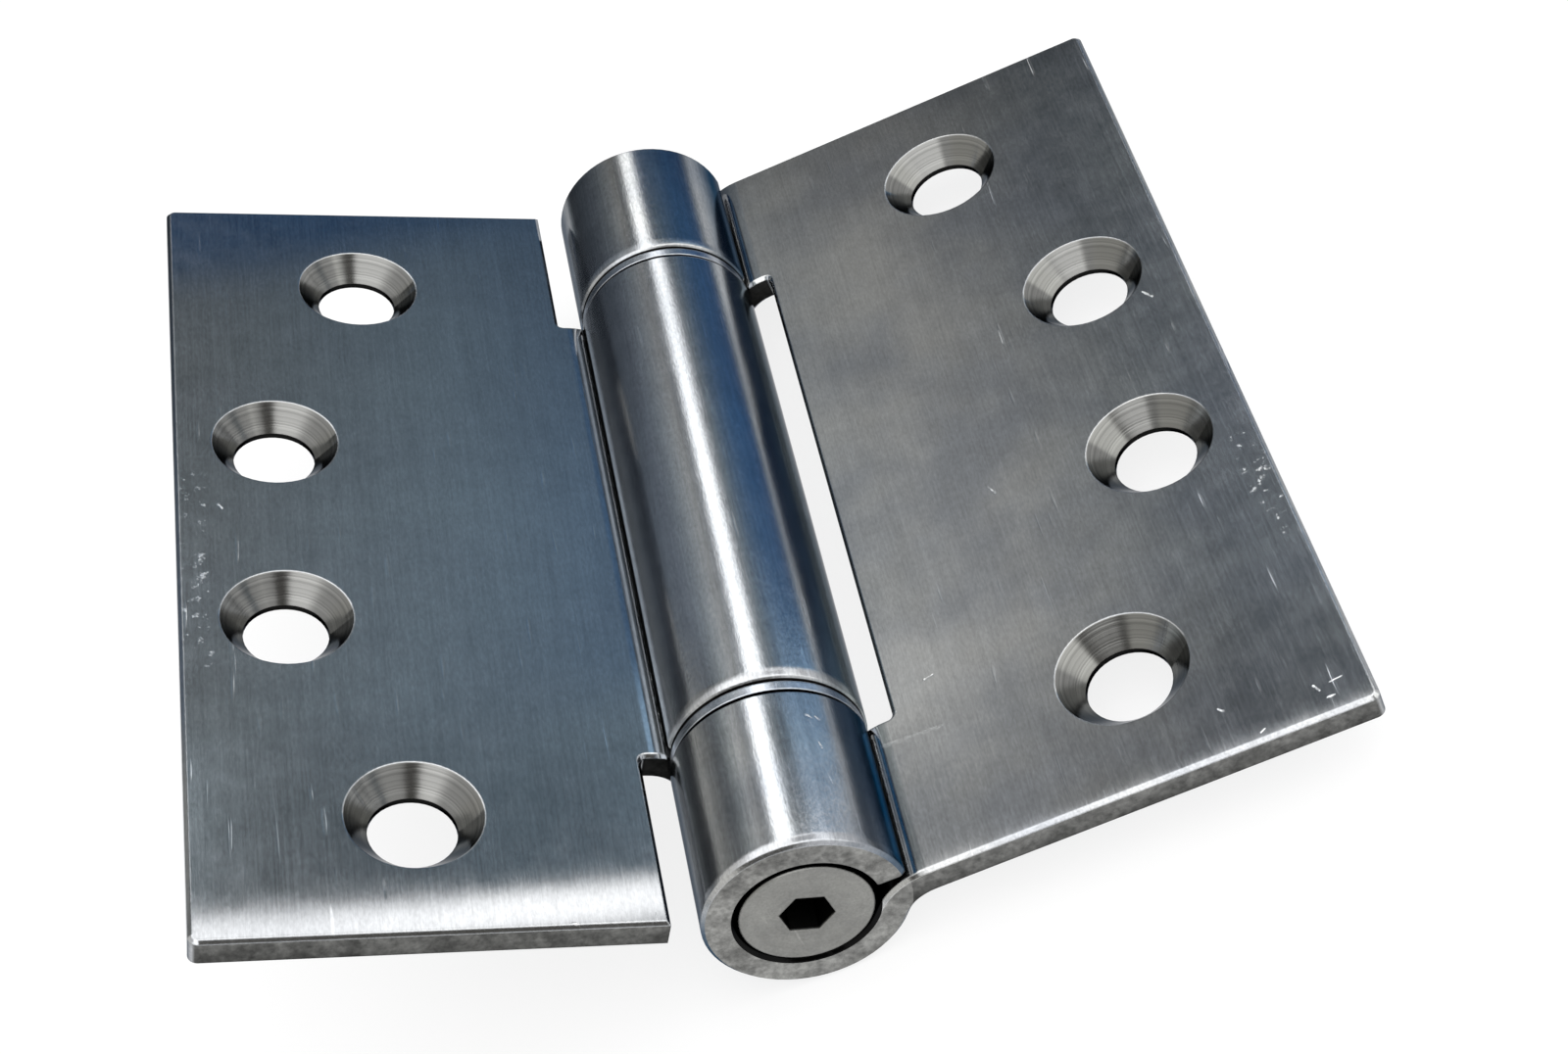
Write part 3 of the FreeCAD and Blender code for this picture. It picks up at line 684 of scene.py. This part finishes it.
    def worn(self, wiring: Wiring, along: Socket, barrel: Socket, streaks: Socket) -> Socket:
        """How far the surface has worn down towards the near end of the leaf and of its knuckles.

        Args:
            wiring: wiring of the material.
            along: place along the pin.
            barrel: mask of the knuckles.
            streaks: streaks of the grain that make the border ragged.

        Returns:
            The height, which is negative where the metal has gone.
        """
        total = 0.0
        for place, reach, steep, uneven, mask in (
                (-self.half_height, self.edge_wear, self.edge_steep, self.edge_uneven, wiring.but(barrel)),
                (-self.half_height, self.buffed_reach, self.buffed_steep, self.buffed_uneven, barrel),
                (self.buffed_end, self.buffed_reach + 0.3 * MILLIMETRE, self.buffed_steep,
                 self.buffed_uneven, barrel)):
            ragged = wiring.spread(streaks, 0.25, 0.75, -uneven, uneven)
            past = wiring.calc("ADD", wiring.calc("SUBTRACT", along, place), ragged)
            left = wiring.calc("MAXIMUM", wiring.calc("SUBTRACT", reach, past), 0.0)
            left = wiring.calc("MINIMUM", left, reach + uneven)
            here = wiring.calc("GREATER_THAN", past, -0.7 * MILLIMETRE)
            total = wiring.calc("SUBTRACT", total, wiring.times(left, left, steep, mask, here))
        return total

    def oval(self, wiring: Wiring, spot: Socket) -> Socket:
        """How far the knuckle lies below a true circle, which turns what its front mirrors to one side."""
        around = wiring.calc("ARCTAN2", wiring.part(spot, "X"), wiring.part(spot, "Z"))
        around = wiring.calc("MINIMUM", around, self.oval_gone)
        fading = wiring.calc("MAXIMUM", wiring.calc("SUBTRACT", around, self.oval_until), 0.0)
        fading = wiring.calc("DIVIDE", wiring.calc("POWER", fading, 2.0),
                             2 * (self.oval_gone - self.oval_until))
        return wiring.times(wiring.calc("SUBTRACT", around, fading), self.out_of_round * self.barrel_radius)

    def surface(self, effects: Effects, wiring: Wiring) -> dict[str, Socket]:
        """Adds the knuckle, the cut ends, the nicks and the countersinks to the brushed surface."""
        parts = super().surface(effects, wiring)
        spot = parts["spot"]
        level = wiring.add("ShaderNodeMapping", {
            "Vector": spot, "Rotation": (0.0, math.radians(-self.tilt), 0.0)}).outputs[0]
        along = wiring.part(level, "Y")
        radius = wiring.off_axis(level)
        barrel = wiring.calc("LESS_THAN", radius, self.barrel_radius + SLACK)
        normal = wiring.add("ShaderNodeTexCoord").outputs["Normal"]
        end = wiring.spread(wiring.calc("ABSOLUTE", wiring.part(normal, "Y")), 0.8, 0.95)
        sinks = self.sinks(wiring, level)
        sink = sinks["mask"]
        rings = wiring.group(effects.tool_marks, {
            "Distance": sinks["away"], "Rings per metre": self.sink_rings}).outputs["Rings"]
        nicks = self.marks(effects, wiring, level)
        joint = wiring.times(barrel, wiring.within(
            wiring.calc("ABSOLUTE", along), self.knuckle_ends - self.joint_shade_half,
            self.knuckle_ends + self.joint_shade_half, 0.04 * MILLIMETRE))
        buffed = wiring.times(barrel, wiring.within(
            along, self.buffed_end - 0.5 * MILLIMETRE, self.buffed_end + self.buffed_reach, 0.2 * MILLIMETRE))

        # Painted shade and dark reflection low on the knuckle's flanks.
        colour = wiring.vector("MULTIPLY", parts["colour"], self.lower_flank_shade(wiring, spot, level, barrel)).outputs[0]
        colour = wiring.blend(nicks, colour, self.nick_colour)
        colour = wiring.blend(end, colour, self.cut_ends(wiring, spot, level, barrel))
        # Painted shade: a near-black line beside each joint between knuckles.
        colour = wiring.blend(joint, colour, PAINTED_SHADE_BLACK)
        # Painted shade: the wall of each screw hole below its countersink keeps only a small share of its
        # colour.
        beyond_hole_shade = wiring.calc("GREATER_THAN", sinks["away"], self.hole_shade_radius)
        turned = wiring.times(wiring.spread(rings, 0.2, 0.8, 0.4, 1.7),
                              wiring.spread(beyond_hole_shade, 0.0, 1.0, 0.05, 1.0))
        colour = wiring.blend(sink, colour, wiring.scaled(self.sink_colour, turned))
        # Painted shade: the bore inside the knuckle is painted near black.
        colour = wiring.blend(wiring.calc("LESS_THAN", radius, self.bore_shade_radius), colour, PAINTED_SHADE_BLACK)

        rough = parts["roughness"]
        for mask, more in ((barrel, self.barrel_rougher), (end, self.end_rougher), (sink, self.sink_rougher),
                           (nicks, self.nick_rougher), (buffed, self.buffed_rougher)):
            rough = wiring.calc("ADD", rough, wiring.times(mask, more))

        ripples = wiring.times(parts["ripples"], barrel, self.ripple_height)
        height = wiring.times(wiring.calc("ADD", parts["height"], ripples), wiring.but(sink))
        height = wiring.calc("ADD", height, wiring.times(rings, self.ring_height, sink))
        height = wiring.calc("SUBTRACT", height, wiring.times(nicks, self.nick_depth))
        height = wiring.calc("ADD", height, self.worn(wiring, along, barrel, parts["streaks"]))
        height = wiring.calc("SUBTRACT", height, wiring.times(self.oval(wiring, spot), barrel))
        grain_way = wiring.shift(sink, parts["grain_way"], sinks["way"])
        return {**parts, "colour": colour, "roughness": rough, "height": height, "grain_way": grain_way}


FRAME_NICKS = (
    Nick((10.2, -35.6, -0.5), (15.8, -35.9, -0.5), 0.3, 0.35),
    Nick((16.4, -29.8, -0.5), (15.6, -30.0, -0.5), 0.16),
    Nick((12.2, -32.4, -0.5), (11.7, -32.6, -0.5), 0.13),
    Nick((47.57, -47.17, -0.5), (47.93, -47.94, -0.5), 0.1),
    Nick((48.99, -47.43, -0.5), (50.1, -47.3, -0.5), 0.1, 0.6),
    Nick((48.31, -48.94, -0.5), (48.93, -48.92, -0.5), 0.12),
    Nick((39.34, -45.78, -0.5), (39.66, -46.18, -0.5), 0.13),
    Nick((41.98, -49.88, -0.5), (42.42, -49.64, -0.5), 0.12),
    Nick((26.8, -9.9, -0.5), (27.3, -11.0, -0.5), 0.14),
    Nick((47.7, 7.5, -0.5), (48.4, 6.3, -0.5), 0.14),
    Nick((5.65, -35.85, 7.45), (6.05, -36.2, 7.13), 0.17),
    Nick((6.3, -35.95, 6.9), (6.55, -36.3, 6.67), 0.15),
    Nick((6.1, -39.15, 7.06), (6.25, -39.8, 6.96), 0.14),
    Nick((5.75, -36.5, 7.37), (6.0, -37.3, 7.18), 0.09, 0.3),
    Nick((6.2, -42.85, 7.0), (6.35, -43.95, 6.84), 0.08, 0.3),
)
DOOR_NICKS = (
    Nick((-48.4, 3.1, -0.5), (-48.1, 2.6, -0.5), 0.22),
    Nick((-20.3, -50.3, -0.5), (-19.6, -50.9, -0.5), 0.2),
)
FRAME_STEEL = LeafSteel(
    "frame_leaf_steel", (0.55, 0.55, 0.54), (0.385, 0.4, 0.425), patches=55.0, mottle_tone=0.08,
    nicks=FRAME_NICKS)
# The door's knuckle takes a lighter painted shade low on its flanks than the frame's.
DOOR_STEEL = LeafSteel(
    "door_leaf_steel", (0.5, 0.51, 0.52), (0.45, 0.46, 0.475), side=Side.DOOR, tilt=30.0, out_of_round=0.0,
    flank_shade_tint=(0.7, 0.75, 0.75), leaf_end_colour=(0.13, 0.13, 0.125), edge_wear=0.0075, edge_steep=1.3,
    buffed_end=-0.0313, knuckle_ends=0.0313, nicks=DOOR_NICKS, scuffed=(-0.018, 0.007))


def cover(node: str, material: bpy.types.Material) -> None:
    """Gives a solid of the frame its only material."""
    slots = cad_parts[node].data.materials
    slots.clear()
    slots.append(material)
    LOG.info("%s covered with %s", node, material.name)


@dataclass
class Leaf:
    """A leaf with its rolled knuckle.

    Attributes:
        node: name of its solid.
        finish: its steel.
    """

    node: str
    finish: LeafSteel

    def dress(self, effects: Effects) -> None:
        """Gives the solid its finish."""
        cover(self.node, self.finish.material(effects))


@dataclass
class Barrel:
    """What turns or stands inside the knuckles and between them.

    Attributes:
        flange: steel of the bushes.
        turned: steel of the spindle, the plug and the anchor.
        pin: steel of the cross pins.
    """

    flange: Steel = Steel(
        "bush_flange_steel", (0.6, 0.62, 0.65), (0.5, 0.53, 0.58), roughness=0.22, lines=900.0,
        length=0.0006, grain_height=1e-6)
    turned: Steel = TurnedSteel(
        "turned_steel", (0.3, 0.3, 0.285), (0.25, 0.25, 0.24), roughness=0.34, lines=1800.0,
        length=0.0005, grain_tone=0.05, patches=260.0)
    pin: Steel = Steel("pin_steel", (0.5, 0.5, 0.5), (0.42, 0.42, 0.42), roughness=0.3, length=0.0005)

    def dress(self, effects: Effects) -> None:
        """Gives each solid its finish."""
        choice = {
            "near_bush": self.flange, "far_bush": self.flange,
            "tension_spindle": self.turned, "pivot_plug": self.turned, "spring_anchor": self.turned,
            "lock_pin": self.pin, "plug_pin": self.pin, "anchor_pin": self.pin,
        }
        made = {finish: finish.material(effects) for finish in dict.fromkeys(choice.values())}
        for node, finish in choice.items():
            cover(node, made[finish])


def new_piece(name: str, shape: bmesh.types.BMesh) -> bpy.types.Object:
    """Turns a finished bmesh into a smooth piece of the scene."""
    mesh = bpy.data.meshes.new(name)
    shape.to_mesh(mesh)
    shape.free()
    mesh.shade_smooth()
    piece = bpy.data.objects.new(name, mesh)
    bpy.context.scene.collection.objects.link(piece)
    return piece


@dataclass
class Spring:
    """The torsion spring: the half held by the spindle and the half held by the anchor.

    Attributes:
        coil_radius: pin axis to the middle of the wire.
        wire_radius: radius of the wire.
        tang_radius: radius of its bent-in ends.
        tang_reach: how far they reach beyond the pin axis.
        start: where the wire starts along the pin.
        end: where it ends.
        turns: number of turns.
        lap: angle by which the wire runs on beyond a bent-in end.
        wire_sides: sides of the wire's cross-section.
        steps_per_turn: cross-sections per turn.
        finish: its steel.
    """

    coil_radius: float = 0.00485
    wire_radius: float = 0.00125
    tang_radius: float = 0.00115
    tang_reach: float = 0.0033
    start: float = -0.02285
    end: float = 0.01475
    turns: float = 13.5
    lap: float = 15.0
    wire_sides: int = 12
    steps_per_turn: int = 32
    finish: Steel = Steel("spring_steel", (0.3, 0.3, 0.31), (0.22, 0.22, 0.24), roughness=0.34, lines=900.0,
                          length=0.001)

    def half(self, name: str, angle: float, along: float, tang_angle: float, tang_along: float
             ) -> bpy.types.Object:
        """One half of the spring, wound left-handed from a place on the pin axis, with its tang.

        Args:
            name: name of the piece.
            angle: angle of its first cross-section, from +X towards the underside.
            along: place of its first cross-section on the pin axis.
            tang_angle: angle of its bent-in end.
            tang_along: place of its bent-in end on the pin axis.

        Returns:
            The piece.
        """
        turns = self.turns / 2
        rise = (self.end - self.start) / 2
        shape = bmesh.new()
        ring = bmesh.ops.create_circle(
            shape, cap_ends=False, segments=self.wire_sides, radius=self.wire_radius,
            matrix=Matrix.Translation((self.coil_radius, along, 0.0)))
        bmesh.ops.rotate(shape, cent=(0, 0, 0), matrix=Matrix.Rotation(math.radians(angle), 3, "Y"),
                         verts=ring["verts"])
        steps = round(turns * self.steps_per_turn)
        bmesh.ops.spin(shape, geom=list(shape.edges), cent=(0, 0, 0), axis=(0, 1, 0),
                       dvec=(0, rise / steps, 0), angle=math.radians(-360.0 * turns), steps=steps)
        bmesh.ops.holes_fill(shape, edges=[edge for edge in shape.edges if edge.is_boundary])
        length = self.coil_radius + self.tang_reach
        middle = Matrix.Translation(((self.coil_radius - self.tang_reach) / 2, tang_along, 0.0))
        turn, lay = (Matrix.Rotation(math.radians(degrees), 4, "Y") for degrees in (tang_angle, 90.0))
        bmesh.ops.create_cone(shape, cap_ends=True, segments=self.wire_sides, radius1=self.tang_radius,
                              radius2=self.tang_radius, depth=length, matrix=turn @ middle @ lay)
        bmesh.ops.recalc_face_normals(shape, faces=shape.faces)
        return new_piece(name, shape)

    def build(self, effects: Effects) -> None:
        """Winds both halves in place of the solid spring, which it hides."""
        middle = (self.start + self.end) / 2
        rise_of_lap = (self.end - self.start) * self.lap / (360.0 * self.turns)
        last_angle = self.lap - 360.0 * self.turns
        near = self.half("spring_near_half", self.lap, self.start, 0.0, self.start + rise_of_lap)
        far = self.half("spring_far_half", self.lap - 180.0 * self.turns, middle, last_angle + self.lap,
                        self.end - rise_of_lap)
        material = self.finish.material(effects)
        for piece in (near, far):
            piece.data.materials.append(material)
        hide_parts("torsion_spring")
        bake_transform(near)
        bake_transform(far)
        LOG.info("torsion spring wound in two halves")


@dataclass(frozen=True)
class Lamp:
    """A soft-edged light of the room, or a dim place in it.

    Each span says from where, to where, and how soft its ends are.

    Attributes:
        light: what it shines.
        lean: span of the lean from upright towards +X, in degrees.
        ahead: span of how far a direction points ahead, along +Y.
        height: span of how far it points up.
    """

    light: Colour
    lean: Span
    ahead: Span
    height: Span = (-10.0, 10.0, 1.0)

    def mask(self, wiring: Wiring, lean: Socket, ahead: Socket, height: Socket) -> Socket:
        """Mask of the directions that the lamp fills."""
        spans = ((lean, self.lean), (ahead, self.ahead), (height, self.height))
        return wiring.times(*(wiring.within(value, *span) for value, span in spans))


@dataclass
class Studio:
    """Pale table, soft lamps, the room around them, and the camera.

    Attributes:
        table_height: height of the table under the pin axis.
        table_half: half the width of the table.
        table_colour: colour of the table round the hinge.
        table_far: colour of the table far from it.
        table_middle: middle of the pale part.
        table_falloff: from where to where the table grows darker.
        seen_share: share of its own colour that the table shows to the camera and in the metal.
        camera_place: place of the camera.
        camera_right: direction to the right of the picture.
        camera_down: direction to the bottom of the picture.
        camera_ahead: direction in which the camera looks.
        lens: focal length in millimetres on a sensor 36 mm wide.
        skew: how much less a direction counts as ahead for each degree of its lean.
        near_from: how far along +Y the far wall ends, and where the near wall begins.
        front_from: how far ahead the walls end, and where the bright front begins.
        front_light: light of the front.
        strip_light: light of the strip on the walls.
        strip_gain: how much brighter the strip is on the near wall.
        strip_low: lean at which the strip begins, and at which it is full.
        strip_high: lean at which the strip ends.
        strip_full: lean up to which it is full, on the far wall and on the near one.
        strip_fade: how far ahead the strip begins to fade, and where it has faded.
        strip_faded: share of the strip that is left there.
        wall_gain: how bright the walls are at each distance ahead.
        far_wall: colour of the far wall at each lean.
        near_wall: colour of the near wall at each lean.
        navy: dark blue end of the far wall.
        dim_front: dim place low in the front.
        left: lamp on the left.
        right: lamp on the right.
        window: window overhead, open only high up or far ahead.
        window_high: height from which the window begins, and from which it is open.
        window_ahead: how far ahead it begins, and from where it is open.
        sill: dim sill at the far end of the window.
    """

    table_height: float = -0.00936
    table_half: float = 3.0
    table_colour: Colour = (0.99, 0.99, 0.99)
    table_far: Colour = (0.2, 0.24, 0.28)
    table_middle: tuple[float, float] = (-0.03, 0.03)
    table_falloff: tuple[float, float] = (0.155, 0.4)
    seen_share: float = 0.8
    camera_place: Place = (0.041499, -0.199547, 0.186917)
    camera_right: Place = (0.9181444, -0.1762447, -0.3548924)
    camera_down: Place = (-0.3749459, -0.6761192, -0.6342542)
    camera_ahead: Place = (-0.1281656, 0.7154024, -0.6868573)
    lens: float = 63.65
    skew: float = 0.0005
    near_from: tuple[float, float] = (0.69, 0.675)
    front_from: tuple[float, float] = (0.609, 0.594)
    front_light: Colour = (0.95, 0.95, 0.95)
    strip_light: Colour = (3.1, 3.14, 3.18)
    strip_gain: float = 1.15
    strip_low: tuple[float, float] = (6.5, 11.0)
    strip_high: float = 29.0
    strip_full: tuple[float, float] = (18.5, 22.0)
    strip_fade: tuple[float, float] = (0.74, 0.84)
    strip_faded: float = 0.4
    wall_gain: tuple[tuple[float, float], ...] = (
        (0.61, 0.62), (0.64, 0.7), (0.67, 1.0), (0.71, 1.0), (0.74, 0.85), (0.78, 0.72), (0.81, 0.42),
        (0.84, 0.3))
    far_wall: tuple[Stop, ...] = (
        (-110.0, (0.15, 0.163, 0.181)), (-81.0, (0.15, 0.175, 0.213)), (-61.0, (0.175, 0.213, 0.263)),
        (-44.0, (0.213, 0.25, 0.306)), (-29.0, (0.312, 0.362, 0.413)), (-14.0, (0.488, 0.525, 0.55)),
        (-5.0, (0.525, 0.525, 0.512)), (1.0, (0.163, 0.188, 0.213)), (32.0, (0.2, 0.225, 0.237)),
        (40.0, (0.213, 0.288, 0.35)), (45.0, (0.125, 0.2, 0.3)), (63.0, (0.056, 0.144, 0.3)),
        (90.0, (0.037, 0.112, 0.263)), (115.0, (0.05, 0.1, 0.188)))
    near_wall: tuple[Stop, ...] = (
        (-110.0, (0.75, 0.75, 0.712)), (-67.0, (0.525, 0.525, 0.5)), (-50.0, (0.263, 0.269, 0.263)),
        (-34.0, (0.112, 0.125, 0.138)), (-20.0, (0.375, 0.413, 0.419)), (-10.0, (0.75, 0.762, 0.762)),
        (-5.0, (0.525, 0.525, 0.512)), (1.0, (0.163, 0.188, 0.213)), (31.0, (0.5, 0.6, 0.65)),
        (33.0, (0.2, 0.225, 0.237)), (40.0, (0.213, 0.288, 0.35)), (44.0, (0.213, 0.288, 0.35)),
        (52.0, (0.54, 0.8, 1.07)), (88.0, (0.5, 0.83, 1.2)), (115.0, (0.25, 0.425, 0.625)))
    navy: Lamp = Lamp((0.04, 0.09, 0.18), (28.0, 50.0, 6.0), (0.781, 2.0, 0.007))
    dim_front: Lamp = Lamp((0.12, 0.115, 0.105), (-200.0, 200.0, 1.0), (-2.0, -0.25, 0.35), (0.4, 0.55, 0.05))
    left: Lamp = Lamp((0.85, 0.84, 0.8), (-180.0, -48.0, 8.0), (-2.0, 0.58, 0.02))
    right: Lamp = Lamp((1.9, 1.9, 1.85), (46.0, 72.0, 6.0), (-0.55, 0.05, 0.1))
    window: Lamp = Lamp((2.2, 2.2, 2.2), (-20.0, 55.0, 10.0), (-0.8, 0.59, 0.05))
    window_high: tuple[float, float] = (0.56, 0.61)
    window_ahead: tuple[float, float] = (0.3, 0.35)
    sill: Lamp = Lamp((0.55, 0.56, 0.57), (28.0, 46.0, 6.0), (0.48, 0.568, 0.012))

    def lay_table(self) -> None:
        """Lays the table top under the hinge."""
        shape = bmesh.new()
        bmesh.ops.create_grid(shape, x_segments=1, y_segments=1, size=self.table_half,
                              matrix=Matrix.Translation((0, 0, self.table_height)))
        table = new_piece("table", shape)
        material = bpy.data.materials.new("table_white")
        wiring = Wiring.cleared(material)
        spot = wiring.add("ShaderNodeTexCoord").outputs["Object"]
        away = wiring.vector("DISTANCE", spot, (*self.table_middle, self.table_height)).outputs["Value"]
        far = wiring.spread(away, *self.table_falloff, smooth=True)
        colour = wiring.blend(far, self.table_colour, self.table_far)
        cloth = wiring.add("ShaderNodeBsdfDiffuse", {"Color": colour})
        glow = wiring.add("ShaderNodeEmission", {"Color": colour, "Strength": 1.0})
        path = wiring.add("ShaderNodeLightPath").outputs
        seen = wiring.calc("MAXIMUM", path["Is Camera Ray"], path["Is Glossy Ray"])
        seen = wiring.calc("MAXIMUM", seen, path["Is Transmission Ray"])
        both = wiring.add("ShaderNodeMixShader", {
            0: wiring.times(seen, self.seen_share), 1: cloth.outputs[0], 2: glow.outputs[0]})
        wiring.add("ShaderNodeOutputMaterial", {"Surface": both.outputs[0]})
        table.data.materials.append(material)

    def walls(self, wiring: Wiring, near: Socket, lean: Socket, ahead: Socket, height: Socket) -> Socket:
        """Dark far and near walls with one lit strip that runs along both.

        Args:
            wiring: wiring of the room.
            near: mask of the near wall.
            lean: lean of the direction from upright, in degrees.
            ahead: how far the direction points ahead.
            height: how far it points up.

        Returns:
            The light of the walls.
        """
        wall = wiring.blend(near, wiring.ramp(lean, self.far_wall), wiring.ramp(lean, self.near_wall))
        gain = wiring.ramp(ahead, [(place, (gain, gain, gain)) for place, gain in self.wall_gain])
        wall = wiring.vector("MULTIPLY", wall, gain).outputs[0]
        wall = wiring.blend(self.navy.mask(wiring, lean, ahead, height), wall, self.navy.light)
        full = wiring.spread(near, 0.0, 1.0, *self.strip_full)
        strip = wiring.times(wiring.spread(lean, *self.strip_low), wiring.spread(lean, self.strip_high, full),
                             wiring.spread(ahead, *self.strip_fade, 1.0, self.strip_faded))
        bright = wiring.scaled(self.strip_light, wiring.spread(near, 0.0, 1.0, 1.0, self.strip_gain))
        return wiring.blend(strip, wall, bright)

    def light_room(self) -> None:
        """Lights the room that the metal mirrors: dark walls with one lit strip, and a bright front."""
        world = bpy.data.worlds.new("room")
        bpy.context.scene.world = world
        wiring = Wiring.cleared(world)
        way = wiring.add("ShaderNodeTexCoord").outputs["Generated"]
        along, height = wiring.part(way, "Y"), wiring.part(way, "Z")
        lean = wiring.calc("DEGREES", wiring.calc("ARCTAN2", wiring.part(way, "X"), height))
        ahead = wiring.calc("SUBTRACT", along, wiring.times(lean, self.skew))
        near = wiring.spread(along, *self.near_from)
        front = wiring.spread(ahead, *self.front_from, smooth=True)
        colour = wiring.blend(front, self.walls(wiring, near, lean, ahead, height), self.front_light)
        for lamp in (self.dim_front, self.left, self.right):
            colour = wiring.blend(lamp.mask(wiring, lean, ahead, height), colour, lamp.light)
        is_open = wiring.calc("MAXIMUM", wiring.spread(height, *self.window_high),
                              wiring.spread(ahead, *self.window_ahead))
        window = wiring.times(self.window.mask(wiring, lean, ahead, height), is_open, front)
        colour = wiring.blend(window, colour, self.window.light)
        colour = wiring.blend(self.sill.mask(wiring, lean, ahead, height), colour, self.sill.light)
        room = wiring.add("ShaderNodeBackground", {"Color": colour, "Strength": 1.0})
        wiring.add("ShaderNodeOutputWorld", {"Surface": room.outputs[0]})

    def set_camera(self) -> None:
        """Sets the camera at the photograph's viewing angle."""
        data = bpy.data.cameras.new("camera")
        data.sensor_width, data.lens = 36.0, self.lens
        camera = bpy.data.objects.new("camera", data)
        columns = (Vector(self.camera_right), -Vector(self.camera_down), -Vector(self.camera_ahead))
        turn = Matrix(columns).transposed().to_4x4()
        camera.matrix_world = Matrix.Translation(self.camera_place) @ turn
        bpy.context.scene.collection.objects.link(camera)
        bpy.context.scene.camera = camera

    def build(self) -> None:
        """Sets up everything around the hinge."""
        bpy.context.scene.view_settings.view_transform = "Standard"
        self.lay_table()
        self.light_room()
        self.set_camera()
        LOG.info("studio set")


def main() -> None:
    """Builds the hinge's looks and the studio in order."""
    logging.basicConfig(level=logging.INFO, format="%(message)s")
    effects = Effects()
    Leaf("frame_leaf", FRAME_STEEL).dress(effects)
    Leaf("door_leaf", DOOR_STEEL).dress(effects)
    Barrel().dress(effects)
    Spring().build(effects)
    Studio().build()


if __name__ == "__main__":
    main()
